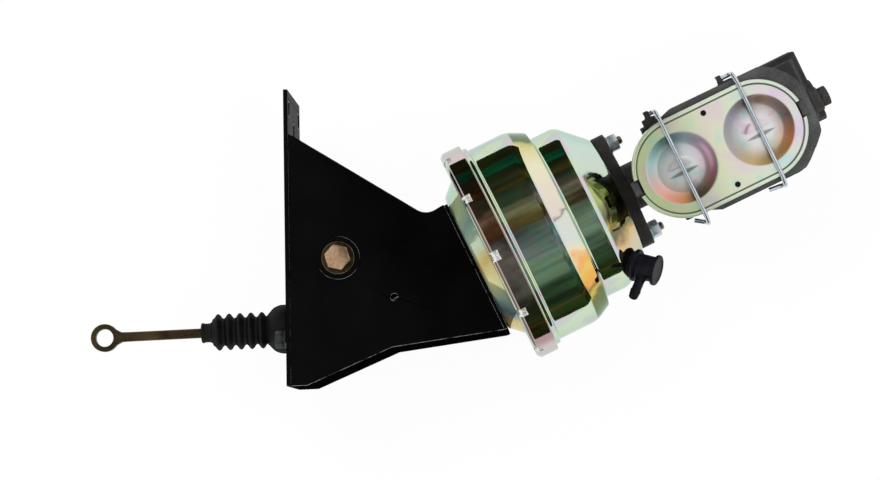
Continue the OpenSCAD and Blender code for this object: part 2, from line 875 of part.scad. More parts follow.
boot_lip_t = 4;
boot_cone_len = 6;
module boot() {
    cone_in = 2;
    cone_out = 3;
    lip = boot_hole_r - gap;
    shoulder = -retainer_t - gap - boot_flange_r * sin(rod_angle);
    outside = concat(
        [
            [lip, 0], [lip, shoulder], [boot_flange_r, shoulder],
            [boot_flange_r, shoulder - boot_flange_t],
            [boot_flange_r - cone_in, shoulder - boot_flange_t - boot_cone_len],
            [valley_fold_r + cone_out, -fold_foot + 1]
        ],
        fold_outline(0),
        [[cuff_r, -cuff_x - 1], [cuff_r, -cuff_x - cuff_len]]
    );
    inside = concat(
        [[rod_r + run, -cuff_x - cuff_len], [rod_r + run, -cuff_x]],
        reversed(fold_outline(-boot_t)),
        [[lip - boot_lip_t, shoulder - boot_flange_t], [lip - boot_lip_t, 0]]
    );
    color("#161718") at_rod() turned(concat(outside, inside));
}

module retainer_bolts() {
    for (s = signs) translate([0, -s * retainer_bolt_y, s * retainer_bolt_z]) children();
}

module boot_retainer() {
    ear_wall_w = 5;
    ear_r = retainer_bolt_r + ear_wall_w;
    color("#1a1b1c")
    at_rod() rotate([0, 0, -rod_angle]) difference() {
        union() {
            bar(boot_flange_r + 2, -retainer_t, 0);
            retainer_bolts() bar(ear_r, -retainer_t, 0);
        }
        bar(boot_hole_r, -retainer_t - over, over);
        retainer_bolts() bar(retainer_bolt_r + bolt_gap, -retainer_t - over, over);
    }
}

module boot_bolts() {
    collar_t = 1.6;
    nut_t = 5;
    seat = -retainer_t;
    color("#3d4043")
    at_rod() rotate([0, 0, -rod_angle]) retainer_bolts() {
        bar(retainer_bolt_r + 4, seat - collar_t, seat);
        hex_bar(retainer_af, seat - collar_t - retainer_head_h, seat - collar_t);
        bar(retainer_bolt_r, seat - collar_t, firewall_t + nut_t + over);
        hex_bar(retainer_af, firewall_t, firewall_t + nut_t);
    }
}

// Booster shells

module rear_stud_places() {
    for (v = signs) for (w = signs)
        translate([0, v * rear_stud_gap / 2, w * rear_stud_w / 2]) children();
}

module front_stud_places() {
    for (v = signs) translate([0, v * stud_gap / 2, 0]) children();
}

module rear_shell() {
    color("#cfc9a0")
    at_booster() difference() {
        turned([
            [collar_r, -collar_len], [collar_r + shell_t, -collar_len], [collar_r + shell_t, 0],
            [back_r, 0], [rear_r, lip_u], [bead_out_r - lip_bevel, lip_u],
            [bead_out_r - lip_bevel, rear_bead_u],
            [rear_r - shell_t, rear_bead_u], [back_r - shell_t / 2, shell_t], [collar_r, shell_t]
        ]);
        rear_stud_places() bar(stud_r, -over, shell_t + over);
    }
}

shell_hole_r = pilot_r + gap;
cone_end_u = cone_u + cone_len;
flat_r = cone_r - (front_u - cone_end_u);
// Distance of a lance's rear edge from the rim's
lance_back = 1.2;
module front_shell() {
    outer = [
        [rear_r + gap, rim_u], [rim_r - rim_bevel, rim_u], [rim_r, rim_u + rim_bevel],
        [rim_r, rim_end_u], [drum_r, rim_end_u],
        [drum_r, shoulder_u], [shoulder_r, step_u], [nose_r, step_u + shell_t], [nose_r, cone_u],
        [cone_r, cone_end_u], [flat_r, front_u], [shell_hole_r, front_u]
    ];
    inner = [
        [shell_hole_r, front_u - shell_t], [flat_r - shell_t / 2, front_u - shell_t],
        [cone_r - shell_t, cone_end_u - shell_t / 2], [nose_r - shell_t, cone_u - shell_t / 2],
        [nose_r - shell_t, step_u], [shoulder_r - shell_t, step_u - shell_t],
        [drum_r - shell_t, shoulder_u - shell_t / 3], [drum_r - shell_t, rim_end_u - shell_t],
        [rim_in_r, rim_end_u - shell_t], [rim_in_r, lip_u + lip_bevel],
        [rim_in_r - lip_bevel, lip_u], [rear_r + gap, lip_u]
    ];
    color("#cbb66a")
    at_booster() difference() {
        turned(concat(outer, inner));
        for (i = [0 : lances - 1]) rotate([i * 360 / lances - lance_turn, 0, 0])
            translate([rim_u + lance_back, -lance_w / 2, rim_r - lance_d])
                cube([lance_w, lance_w, rim_w]);
        front_stud_places() bar(stud_r, front_u - 2 * shell_t, front_u + over);
        at_check() bar(grommet_neck_r, -grommet_r, over);
    }
}

seal_wall = 3;
seal_r = valve_body_r + seal_wall;
module divider_plate() {
    face_out = divider_u + shell_t;
    color("#b5a872")
    at_booster() turned([
        [bead_out_r, divider_rim_u], [bead_out_r, front_bead_u], [divider_r, front_bead_u],
        [divider_r, face_out], [seal_r, face_out], [seal_r, divider_u],
        [divider_r - shell_t, divider_u], [divider_r - shell_t, divider_rim_u]
    ]);
}

module divider_seal() {
    lip_t = 2;
    color("#202122")
    at_booster() difference() {
        bar(seal_r + seal_wall, divider_u - lip_t, divider_u + shell_t + lip_t);
        bar(valve_body_r + run, divider_u - lip_t - over, divider_u + shell_t + lip_t + over);
        ring(seal_r + seal_wall + over, seal_r, divider_u, divider_u + shell_t);
    }
}

module rear_bearing() {
    color("#26282a")
    at_booster() ring(collar_r, valve_body_r + run, -collar_len + 1, -1);
}

module rear_studs() {
    head_t = 3;
    color("#8b8f94")
    at_booster() rear_stud_places() {
        bar(stud_r, -plate_t - nut_washer_t - nut_h - stud_tail / 2, shell_t);
        bar(stud_r + 4, shell_t, shell_t + head_t);
    }
}

module rear_nuts() {
    color("#9a9da2")
    at_booster() rear_stud_places() {
        ring(nut_af / 2 + 1, stud_r + run, -plate_t - nut_washer_t, -plate_t);
        hex_nut(nut_af, stud_r + run, -plate_t - nut_washer_t - nut_h, -plate_t - nut_washer_t);
    }
}

front_nut_u = flange_front_u + nut_washer_t;
module front_studs() {
    head_t = 4;
    color("#8a7a5c")
    at_booster() front_stud_places() {
        bar(stud_r, front_u - shell_t, front_nut_u + nut_h + stud_tail);
        bar(stud_r + 4, front_u - shell_t - head_t, front_u - shell_t);
    }
}

module front_nuts() {
    color("#8f9398")
    at_booster() front_stud_places() {
        ring(nut_af / 2 + 1.2, stud_r + run, flange_front_u, front_nut_u);
        hex_nut(nut_af, stud_r + run, front_nut_u, front_nut_u + nut_h);
    }
}

module front_seal() {
    seal_u = front_u - pilot_len + 1;
    seal_len = 5;
    color("#202122")
    at_booster() ring(bore_r - run, output_r + run, seal_u, seal_u + seal_len);
}

// Booster inside

poppet_r = 15;
module power_valve_body() {
    color("#3b3a36")
    at_booster() difference() {
        bar(valve_body_r, -valve_body_back, valve_body_front);
        bar(poppet_r, -valve_body_back - over, plunger_u - 2);
        bar(plunger_r + run, plunger_u - 3, valve_body_front);
        bar(disc_r + run, disc_u, valve_body_front + over);
    }
}

module poppet_valve() {
    color("#1d1e1f")
    at_booster() ring(poppet_r - run, input_r + 1, plunger_u - 14, plunger_u - 2);
}

module valve_plunger() {
    color("#a9acb0")
    at_booster() difference() {
        bar(plunger_r, plunger_u, disc_u - lost_motion - gap);
        bar(input_r + 0.5 + run, plunger_u - over, plunger_u + 9);
    }
}

module input_rod() {
    ball_r = input_r + 0.5;
    color("#9a9da1")
    at_booster() {
        bar(input_r, input_stem_u - fork_len, plunger_u + 3);
        translate([plunger_u + 3.4, 0, 0]) sphere(r = ball_r);
    }
}

module reaction_disc() {
    color("#27282a") at_booster() bar(disc_r, disc_u, disc_u + disc_t);
}

module output_rod() {
    color("#a2a5a9")
    at_booster() {
        bar(disc_r, disc_u + disc_t, valve_body_front);
        bar(output_r, valve_body_front, output_tip_u);
    }
}

// Distance that the rear plate's rim keeps from the divider at full stroke
plate_clear = 3;
module rear_diaphragm_plate() {
    hoop = divider_u - rear_plate_u - power_travel - plate_clear;
    color("#b7b9bc")
    at_booster() turned([
        [valve_body_r, rear_plate_u], [rear_plate_r, rear_plate_u],
        [rear_plate_r, rear_plate_u + hoop], [rear_plate_r - shell_t, rear_plate_u + hoop],
        [rear_plate_r - shell_t, rear_plate_u + shell_t], [valve_body_r, rear_plate_u + shell_t]
    ]);
}

module front_diaphragm_plate() {
    hoop = 6;
    color("#b7b9bc")
    at_booster() turned([
        [valve_body_r, front_plate_u], [front_plate_r, front_plate_u],
        [front_plate_r, front_plate_u + hoop], [front_plate_r - shell_t, front_plate_u + hoop],
        [front_plate_r - shell_t, front_plate_u + shell_t], [valve_body_r, front_plate_u + shell_t]
    ]);
}

module rear_diaphragm() {
    color("#2a2b2c")
    at_booster() turned([
        [valve_body_r, membrane_u], [bead_in_r, membrane_u], [bead_in_r, rear_bead_u],
        [bead_out_r - lip_bevel, rear_bead_u], [bead_out_r, rear_bead_u + lip_bevel],
        [bead_out_r, divider_rim_u], [bead_in_r, divider_rim_u],
        [bead_in_r, membrane_u + membrane_t], [valve_body_r, membrane_u + membrane_t]
    ]);
}

// The front diaphragm hangs from its bead, along the divider's skirt and then inwards
module front_diaphragm() {
    skirt_r = divider_r + 1 + membrane_t;
    bead_end = front_bead_u + front_bead_w;
    fold_u = front_bead_u + membrane_t;
    color("#2a2b2c")
    at_booster() turned([
        [valve_body_r, front_membrane_u], [skirt_r - membrane_t, front_membrane_u],
        [skirt_r - membrane_t, front_bead_u], [bead_out_r, front_bead_u], [bead_out_r, bead_end],
        [bead_in_r, bead_end], [bead_in_r, fold_u], [skirt_r, fold_u],
        [skirt_r, front_plate_u], [valve_body_r, front_plate_u]
    ]);
}

module return_spring() {
    color("#7d8085")
    at_booster() coil(return_spring_r, return_wire_r, front_plate_u + shell_t, front_u - shell_t, 6);
}

// Check valve. Its frame has the valve's axis along +X, out of the shell's front cone.

cone_slope = atan2(cone_len, cone_fall);
check_radius = nose_r - (check_u - cone_u) * cone_fall / cone_len;
module at_check() {
    rotate([-check_turn, 0, 0]) translate([check_u, -check_radius, 0])
        rotate([0, 0, -cone_slope]) children();
}

grommet_wall = 1.6;
grommet_neck_r = stem_r + grommet_wall;
grommet_out = 2.2;
grommet_in = 5;
// Drop of the round cone's inside at the grommet's edge
cone_sag = 1.2;
module valve_grommet() {
    flange_in = shell_t + cone_sag;
    lip_t = 3;
    color("#17181a")
    at_booster() at_check() difference() {
        union() {
            bar(grommet_r, 0, grommet_out);
            bar(grommet_neck_r - run, -flange_in, over / 2);
            bar(grommet_neck_r + over, -flange_in - lip_t, -flange_in);
        }
        bar(stem_r + run, -grommet_in - flange_in, grommet_out + over);
    }
}

check_start = grommet_out + gap;
check_wall = 2.6;
chamber_r = check_r - check_wall;
chamber_floor = 3;
chamber_start = check_start + chamber_floor;
// Share of the valve's length at which the nozzle leaves it
nozzle_share = 0.56;
inlet_r = 3;
nozzle_bore_r = 2.4;
module check_valve_body() {
    cap_start = check_start + check_len;
    nozzle_x = check_start + check_len * nozzle_share;
    barb = 1.2;
    barb_len = 3;
    color("#131416")
    at_booster() at_check() difference() {
        union() {
            bar(stem_r, -grommet_in - shell_t, check_start);
            bar(check_ring_r, check_start, check_start + check_ring_t);
            bar(check_r, check_start, cap_start);
            bar(cap_r, cap_start, cap_start + cap_t);
            translate([nozzle_x, 0, 0]) rotate([90, 0, 0]) {
                cylinder(r = nozzle_r, h = nozzle_len);
                translate([0, 0, check_r - 1]) cylinder(r = nozzle_r + barb, h = barb_len);
            }
        }
        bar(chamber_r, chamber_start, cap_start - 1);
        bar(inlet_r, -grommet_in - shell_t - over, chamber_start + over);
        translate([nozzle_x, 0, 0]) rotate([90, 0, 0])
            cylinder(r = nozzle_bore_r, h = nozzle_len + over);
    }
}

module check_valve_disc() {
    disc_thick = 1.8;
    disc_clear = 1.4;
    color("#303234")
    at_booster() at_check() bar(chamber_r - disc_clear, chamber_start, chamber_start + disc_thick);
}

// Master cylinder casting

module flange_outline() {
    end = stud_gap / 2;
    polygon([
        [-end, -flange_end_r], [-flange_mid, -flange_mid], [flange_mid, -flange_mid],
        [end, -flange_end_r], [end, flange_end_r], [flange_mid, flange_mid],
        [-flange_mid, flange_mid], [-end, flange_end_r]
    ]);
    for (s = signs) translate([s * end, 0]) circle(r = flange_end_r);
}

// The deck around the lid. Each corner is a share of half the lid's length from the lid's
// centre and a share of half the casting's width.
deck_half = cast_w / 2;
deck_shape = [
    [-0.47, -0.84], [-0.37, -0.9], [-0.25, -0.985], [0.676, -0.992], [0.768, -0.962],
    [0.839, -0.884], [0.988, -0.671], [1.059, -0.552], [1.085, -0.496], [1.108, -0.317],
    [1.112, 0], [1.115, 0.293], [1.069, 0.526], [1, 0.697], [0.92, 0.829], [0.84, 0.93],
    [0.766, 0.984], [-0.29, 1], [-0.42, 0.936], [-0.53, 0.84]
];
deck_front_u = lid_u + lid_len / 2 * deck_shape[10][0];
function deck_outline() = [
    for (corner = deck_shape) [lid_u + corner[0] * lid_len / 2, corner[1] * deck_half]
];

module at_lid() {
    translate([lid_u, 0, 0]) children();
}

module at_tank() {
    translate([lid_u + tank_back / 2, 0, 0]) children();
}

tab_w = 14;
tab_len = 8;
tab_h = 6;
// Casting tabs that show in the notches at the lid's two ends
module end_tabs(grow) {
    for (s = signs) translate([s * (lid_len / 2 - 1), 0, cast_top + 1])
        cube([tab_len + 2 * grow, tab_w + 2 * grow, tab_h + 2 * grow], center = true);
}

seat_pocket_r = 3.6;
seat_pocket = 6;
module outlet_boss(u, face_v, radius) {
    translate([u, 0, 0]) rotate([-90, 0, 0]) cylinder(r = radius, h = face_v);
}

tube_r = 1.6;
module port(u, face_v) {
    translate([u, face_v, 0]) rotate([90, 0, 0]) {
        translate([0, 0, -over]) cylinder(r = port_r, h = port_depth + over);
        cylinder(r = seat_pocket_r, h = port_depth + seat_pocket);
        cylinder(r = tube_r, h = face_v);
    }
}

// The bails. Each row: place of the bail along the axis, length of its bent ends, lean of
// its free hook.
leg_v = deck_half + leg_out;
bails = [
    [dish_rear_u + bail_shift, rear_hook, rear_lean],
    [dish_front_u + bail_shift, front_hook, front_lean]
];

// Lugs that the bails turn in: a block on the casting's upper side with an ear around
// the bail's bent end
lug_len = 12.5;
lug_w = 8;
lug_root = 8;
lug_out = 0.9;
lug_clear = 0.7;
ear_len = 5;
ear_wall = 1.3;
module bail_lug(u, hook) {
    block_end = u - lug_clear;
    ear_half = wire_r + ear_wall;
    translate([block_end - lug_len, deck_half - lug_root, leg_w - lug_w / 2])
        cube([lug_len, lug_root + lug_out, lug_w]);
    translate([u - hook, deck_half - lug_root, leg_w - ear_half])
        cube([ear_len, lug_root + leg_out + ear_half, 2 * ear_half]);
}

// The lug that the rear bail's free hook catches behind
catch_len = 8;
module bail_catch(u, hook, lean) {
    reach = leg_v - lean - wire_r - 3 * gap;
    translate([u - hook - catch_len + 2, -reach, leg_w - lug_w / 2])
        cube([catch_len, reach - tank_half + lug_root, lug_w]);
}

// Front end of the casting: a block with the front port, and two round bosses
block_w = 32;
block_v = 13;
front_foot = 15;
front_len = 30;
front_v = [-16, 42];
snout_r = 13.3;
snout_v = 3.5;
snout_len = 6.3;
boss_r = 11.2;
boss_len = 8.5;
plug_v = -2.8;
plug_r = 7;
plug_len = 7.7;
side_plug_v = -15.5;
side_plug_w = -14;
side_plug_r = 4;
side_plug_depth = 9;
side_boss_r = 8;
side_boss_len = 12;
rear_boss_r = 11;
fill_port_r = 3;
module casting_front() {
    translate([0, front_v[1], 0]) rotate([90, 0, 0]) linear_extrude(front_v[1] - front_v[0])
        polygon([
            [deck_front_u - front_len, -front_foot], [cast_front_u, -front_foot],
            [cast_front_u, block_w / 2], [deck_front_u, lip_foot + over],
            [deck_front_u - front_len, lip_foot + over]
        ]);
    translate([front_port_u - block_w / 2, block_v, -block_w / 2])
        cube([block_w, front_port_v - block_v, block_w]);
    translate([0, snout_v, 0]) bar(snout_r, cast_front_u - over, cast_front_u + snout_len);
    translate([0, plug_v, 0]) bar(boss_r, cast_front_u - over, cast_front_u + boss_len);
    translate([0, side_plug_v, side_plug_w])
        bar(side_boss_r, cast_front_u - side_boss_len, cast_front_u);
}

module master_body() {
    color("#3a3a39")
    at_booster() difference() {
        union() {
            along_axis(front_u, flange_t) flange_outline();
            bar(pilot_r, front_u - pilot_len, front_u + over);
            bar(barrel_r, front_u, cast_front_u);
            at_lid() stadium(2 * (lid_end + tank_half), 2 * tank_half, lip_foot, lip_w - lip_foot);
            at_tank() stadium(tank_len, 2 * tank_half, 0, lip_w);
            translate([0, 0, lip_foot]) linear_extrude(cast_top_t)
                polygon(deck_outline());
            at_lid() end_tabs(0);
            casting_front();
            outlet_boss(rear_port_u, rear_port_v, rear_boss_r);
            translate([flange_front_u - over, -pad_half, 0])
                cube([stop_u - flange_front_u + pad_half, 2 * pad_half, pad_top]);
            for (b = bails) bail_lug(b[0], b[1]);
            bail_catch(bails[0][0], bails[0][1], bails[0][2]);
        }
        bar(bore_r, front_u - pilot_len - over, bore_end_u);
        bar(snap_groove_r, snap_u, snap_u + snap_t);
        translate([0, plug_v, 0]) bar(plug_r, bore_end_u - over, cast_front_u + boss_len + over);
        front_stud_places() bar(stud_r + bolt_gap, front_u - over, flange_front_u + over);
        for (s = signs) at_tank() intersection() {
            stadium(tank_len - 2 * wall, 2 * (tank_half - wall), tank_floor, far);
            translate([s > 0 ? web_t / 2 : -far - web_t / 2, -far / 2, 0]) cube([far, far, far]);
        }
        for (s = signs) at_lid() translate([s * dish_gap / 2, 0, dish_under - 2 * gap])
            cylinder(r = dish_r + over, h = lug_w);
        for (u = [primary_u + primary_len - fill_back, secondary_u + secondary_len - fill_back])
            translate([u, 0, 0]) cylinder(r = fill_port_r, h = tank_floor + over);
        port(rear_port_u, rear_port_v);
        port(front_port_u, front_port_v);
        for (b = bails) translate([0, leg_v, leg_w])
            bar(wire_r + bail_run, b[0] - b[1] - over, b[0]);
        translate([0, side_plug_v, side_plug_w])
            bar(side_plug_r, cast_front_u - side_plug_depth, cast_front_u + over);
        translate([stop_u, 0, bore_r - over]) cylinder(r = stop_r, h = barrel_r);
    }
}

// Hex plugs in the casting's front, with their threaded shanks
module casting_plugs() {
    boss_end = cast_front_u + boss_len;
    color("#2f2f2e")
    at_booster() {
        translate([0, plug_v, 0]) {
            bar(plug_r - run, bore_end_u, boss_end);
            hex_bar(plug_af, boss_end, boss_end + plug_len);
        }
        translate([0, side_plug_v, side_plug_w]) {
            bar(side_plug_r - run, cast_front_u - side_plug_depth, cast_front_u);
            hex_bar(side_plug_af, cast_front_u, cast_front_u + side_plug_depth);
        }
    }
}

stop_back = 5.5;
stop_u = flange_front_u + stop_back;
stop_r = 3;
stop_head_r = 5;
stop_head_t = 4;
pad_half = 7;
pad_rise = 3;
pad_top = barrel_r + pad_rise;
module stop_screw() {
    color("#55575a")
    at_booster() translate([stop_u, 0, 0]) {
        translate([0, 0, bore_r + 1]) cylinder(r = stop_r - run, h = pad_top - bore_r);
        translate([0, 0, pad_top]) cylinder(r = stop_head_r, h = stop_head_t, $fn = 6);
    }
}

module snap_ring() {
    color("#7d8085") at_booster() ring(snap_groove_r - run, bore_r - 2.5, snap_u, snap_u + snap_t);
}

module tube_seats() {
    tip = 2.4;
    root = seat_pocket - tip;
    color("#b8934a")
    at_booster() for (port = [[rear_port_u, rear_port_v], [front_port_u, front_port_v]])
        translate([port[0], port[1] - port_depth - seat_pocket, 0]) rotate([-90, 0, 0]) difference() {
            union() {
                cylinder(r = seat_pocket_r - run, h = root);
                translate([0, 0, root]) cylinder(r1 = seat_pocket_r - run, r2 = 2, h = tip);
            }
            translate([0, 0, -over]) cylinder(r = tube_r, h = seat_pocket + 2 * over);
        }
}

// Lid: a shallow pan turned over the casting's lip, with two dishes

dish_sphere = (dish_r * dish_r + dish_depth * dish_depth) / 2 / dish_depth;
dish_under = lid_top - lid_t - dish_depth;
module lid() {
    inner_w = lid_w - 2 * lid_t;
    inner_len = lid_len - 2 * lid_t;
    color("#d8d3b0")
    at_booster() at_lid() difference() {
        union() {
            difference() {
                stadium(lid_len, lid_w, lid_top - lid_rim_h, lid_rim_h);
                stadium(inner_len, inner_w, lid_top - lid_rim_h - over, lid_rim_h + over - lid_t);
            }
            for (s = signs) translate([s * dish_gap / 2, 0, dish_under])
                cylinder(r = dish_r, h = dish_depth + lid_t / 2);
        }
        for (s = signs) {
            translate([s * dish_gap / 2, 0, 0]) {
                translate([0, 0, lid_top - dish_depth + dish_sphere]) sphere(r = dish_sphere, $fn = 96);
            }
            translate([0, s * vent_v, lid_top - 2 * lid_t]) cylinder(r = vent_r, h = 2 * lid_t + over);
        }
        end_tabs(0.5);
    }
}

module lid_gasket() {
    length = 2 * (lid_end + tank_half);
    opening = dish_r + 1;
    color("#1b1c1d")
    at_booster() at_lid() difference() {
        stadium(length, 2 * tank_half, lip_w, gasket_t);
        for (s = signs) translate([s * dish_gap / 2, 0, lip_w - over])
            cylinder(r = opening, h = gasket_t + 2 * over);
    }
}

// Pistons, cups and springs

cup_t = 3;
cup_in_r = 9;
cup_end = 8;
function cup_places(start, length) = [start + cup_end, start + length - cup_end];
module piston(start, length) {
    difference() {
        bar(bore_r - run, start, start + length);
        for (u = cup_places(start, length)) ring(bore_r + over, cup_in_r, u, u + cup_t);
    }
}

module cups(start, length) {
    for (u = cup_places(start, length)) ring(bore_r - run, cup_in_r, u, u + cup_t);
}

module primary_piston() {
    color("#a6a9ad")
    at_booster() difference() {
        piston(primary_u, primary_len);
        bar(output_r + 1, primary_u - over, output_tip_u);
    }
}

module primary_cups() {
    color("#232425") at_booster() cups(primary_u, primary_len);
}

module secondary_piston() {
    color("#a6a9ad") at_booster() piston(secondary_u, secondary_len);
}

module secondary_cups() {
    color("#232425") at_booster() cups(secondary_u, secondary_len);
}

spring_in = 4.7;
bore_spring_r = bore_r - spring_in;
bore_wire_r = 0.9;
module bore_springs() {
    color("#84878b")
    at_booster() {
        coil(bore_spring_r, bore_wire_r, primary_u + primary_len, secondary_u, 6);
        coil(bore_spring_r, bore_wire_r, secondary_u + secondary_len, bore_end_u, 5);
    }
}

// Bails: a wire over the lid with both legs bent back along the axis

module rod_between(a, b) {
    d = b - a;
    length = norm(d);
    translate(a) rotate([0, acos(d[2] / length), atan2(d[1], d[0])]) cylinder(r = wire_r, h = length);
}

bail_top = lid_top + wire_r + gap;
bail_run = 0.08;
// Where a bail's crown bends down into its legs
crown_fall = 7;
crown_in = 8.4;
// A bend's ball stands this much proud of the wire
bend_over = 0.03;
module bail(u, hook, lean) {
    path = [
        [u - hook, leg_v, leg_w], [u, leg_v, leg_w], [u, leg_v, bail_top - crown_fall],
        [u, leg_v - crown_in, bail_top], [u, crown_in - leg_v, bail_top],
        [u, -leg_v, bail_top - crown_fall], [u, -leg_v, leg_w], [u - hook, lean - leg_v, leg_w]
    ];
    for (i = [0 : len(path) - 2]) rod_between(path[i], path[i + 1]);
    for (i = [1 : len(path) - 2]) translate(path[i]) sphere(r = wire_r + bend_over);
}

module bail_rear() {
    color("#c4c8cc") at_booster() bail(bails[0][0], bails[0][1], bails[0][2]);
}

module bail_front() {
    color("#c4c8cc") at_booster() bail(bails[1][0], bails[1][1], bails[1][2]);
}

firewall_plate();
bracket_side_near();
bracket_side_far();
bracket_floor();
booster_plate();
pivot_rings();
pivot_bolt();
pivot_washers();
pivot_nut();
pivot_sleeve();
rear_shell();
front_shell();
divider_plate();
divider_seal();
rear_studs();
rear_nuts();
rear_bearing();
front_seal();
front_studs();
front_nuts();
valve_grommet();
master_body();
lid();
lid_gasket();
casting_plugs();
snap_ring();
stop_screw();
tube_seats();
boot();
boot_retainer();
boot_bolts();
pedal_rod();
pedal_fork();
pedal_jam_nut();
pedal_pin();
bellcrank();
bellcrank_bushings();
input_rod();
input_fork();
input_jam_nut();
input_pin();
valve_plunger();
power_valve_body();
rear_diaphragm_plate();
front_diaphragm_plate();
rear_diaphragm();
front_diaphragm();
reaction_disc();
output_rod();
return_spring();
poppet_valve();
primary_piston();
primary_cups();
secondary_piston();
secondary_cups();
bore_springs();
bail_rear();
bail_front();
check_valve_body();
check_valve_disc();
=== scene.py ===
# A vacuum brake booster on its firewall bracket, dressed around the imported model.
# Sizes are millimetres, turned into metres where a mesh is made.
import math
import bmesh
import bpy
from mathutils import Matrix, Vector, noise


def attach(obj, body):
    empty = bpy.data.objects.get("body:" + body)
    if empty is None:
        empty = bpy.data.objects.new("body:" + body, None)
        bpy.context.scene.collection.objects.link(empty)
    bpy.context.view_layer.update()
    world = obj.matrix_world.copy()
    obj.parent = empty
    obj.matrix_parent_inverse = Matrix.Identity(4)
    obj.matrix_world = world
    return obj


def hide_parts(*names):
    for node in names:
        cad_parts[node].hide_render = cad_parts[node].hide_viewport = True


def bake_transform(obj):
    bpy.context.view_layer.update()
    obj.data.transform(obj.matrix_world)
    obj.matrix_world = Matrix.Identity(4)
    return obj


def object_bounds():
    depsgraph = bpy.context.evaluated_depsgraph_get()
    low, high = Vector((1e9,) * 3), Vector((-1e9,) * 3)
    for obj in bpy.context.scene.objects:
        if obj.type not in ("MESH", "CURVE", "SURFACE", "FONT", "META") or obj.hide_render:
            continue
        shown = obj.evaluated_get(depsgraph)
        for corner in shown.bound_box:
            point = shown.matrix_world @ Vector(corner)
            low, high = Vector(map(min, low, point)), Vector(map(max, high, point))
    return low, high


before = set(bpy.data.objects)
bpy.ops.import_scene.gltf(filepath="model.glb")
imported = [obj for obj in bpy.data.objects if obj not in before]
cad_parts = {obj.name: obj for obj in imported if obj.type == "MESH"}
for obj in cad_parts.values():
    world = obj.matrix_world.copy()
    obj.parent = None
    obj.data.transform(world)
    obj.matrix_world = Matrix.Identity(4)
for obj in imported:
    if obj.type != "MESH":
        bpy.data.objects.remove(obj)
CAD_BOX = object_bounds()
MM = 0.001

# Driving sizes, most of them as in the part's source

HALF_W = 54
FIREWALL_T = 4
PLATE_T = 3.2
SEAT = Vector((166.8, -22.6, 0))
SEAT_ANGLE = math.radians(25.04)
SEAT_UP = 53.9
SEAT_FLOOR = 67.9
BOOSTER_ROLL = math.radians(8.3)
SHELL_T = 1.5
RIM_R = 101.7
RIM_U = 12.2
RIM_END_U = 32.7
RIM_BEVEL = 3.3
LIP_IN = 4.2
SWELL_RISE = 3
SWELL_W = 4.2
LANCES = 11
LANCE_TURN = math.radians(2.5)
LANCE_U = 12.4
LANCE_W = 8.4
LANCE_D = 1.3
HUMP_R = 2.4
BACK_R = 64.5
REAR_R = 77.5
DRUM_R = 94.2
SHOULDER_U = 75.1
SHOULDER_R = 85.9
STEP_U = 90.8
NOSE_R = 78.8
CONE_U = 115.4
CONE_R = 58.1
CONE_END_U = 136.7
FRONT_U = 140.2
FRONT_FLAT_R = 54.6
PILOT_R = 16.8
COLLAR_R = 24
COLLAR_LEN = 10
FLANGE_FRONT_U = 152.7
STUD_GAP = 85.72
STUD_R = 4
NUT_AF = 14.3
NUT_H = 8
WASHER_T = 1.6
STUD_TAIL = 4
CAST_FRONT_U = 334.2
BOSS_U = 330
FRONT_BOSS_LEN = 8.5
FRONT_BOSS_R = 6.9
FRONT_PLUG_V = -2.8
FRONT_PLUG_AF = 17.5
FRONT_PLUG_LEN = 7.7
SIDE_PLUG_V = -15.5
SIDE_PLUG_W = -14
SIDE_PLUG_AF = 13
SIDE_PLUG_LEN = 9
CHECK_U = 122.4
CHECK_TURN = math.radians(36)
CHECK_SLOPE = math.atan2(CONE_END_U - CONE_U, NOSE_R - CONE_R)
CHECK_RADIUS = NOSE_R - (CHECK_U - CONE_U) * (NOSE_R - CONE_R) / (CONE_END_U - CONE_U)
LID_U = 235
LID_LEN = 161.8
LID_W = 89.4
LID_TOP = 70.1
LID_T = 1.5
LID_RIM_H = 8
DISH_GAP = 74.9
DISH_R = 31.4
DISH_DEPTH = 4
VENT_R = 2.6
VENT_V = 34.6
WIRE_R = 2
LEG_V = 54.2
LEG_W = 52
CROWN_FALL = 7
CROWN_IN = 8.4
BAIL_SHIFT = 0.5
ROD_Y = -78.1
ROD_ANGLE = math.radians(1.73)
ROD_R = 4.35
FOLDS = 5
FOLD_PITCH = 9.85
FOLD_FOOT = 21.75
FOLD_R = 16.5
VALLEY_R = 12.2
CUFF_R = 9
CUFF_LEN = 10.5
BOOT_FLANGE_R = 22
BOOT_FLANGE_T = 6
BOOT_T = 1.8
BOOT_LIP_R = 17.7
RETAINER_T = 2.4
PIVOT = Vector((47.2, -19.6, 0))
WELD_R = 2.1
WELD_OUT = 0.4

# Frames: each takes millimetres and gives metres


def turned(angle, axis):
    return Matrix.Rotation(angle, 4, axis)


def moved(x, y, z):
    return Matrix.Translation(Vector((x, y, z)) * MM)


def point_at(frame_matrix, x, y=0):
    """A point of a frame's XY plane, in metres of the world."""
    return frame_matrix @ (Vector((x, y, 0)) * MM)


WORLD = Matrix.Identity(4)
SEAT_FRAME = Matrix.Translation(SEAT * MM) @ turned(SEAT_ANGLE, "Z")
BOOSTER = SEAT_FRAME @ turned(BOOSTER_ROLL, "X")
VALVE = BOOSTER @ turned(-CHECK_TURN, "X") @ moved(CHECK_U, -CHECK_RADIUS, 0) @ turned(-CHECK_SLOPE, "Z")
ROD = moved(0, ROD_Y, 0) @ turned(ROD_ANGLE, "Z")

# Outlines and meshes

# Share of an outline's edge that one rounded corner may take
MOST_OF_HALF = 0.48
# Reach of a hexagon's rounded corners and of its flat end, against half its width
HEX_CORNER = 1.135
HEX_FACE = 0.94


def smoothstep(low, high, value):
    t = min(max((value - low) / (high - low), 0), 1)
    return t * t * (3 - 2 * t)


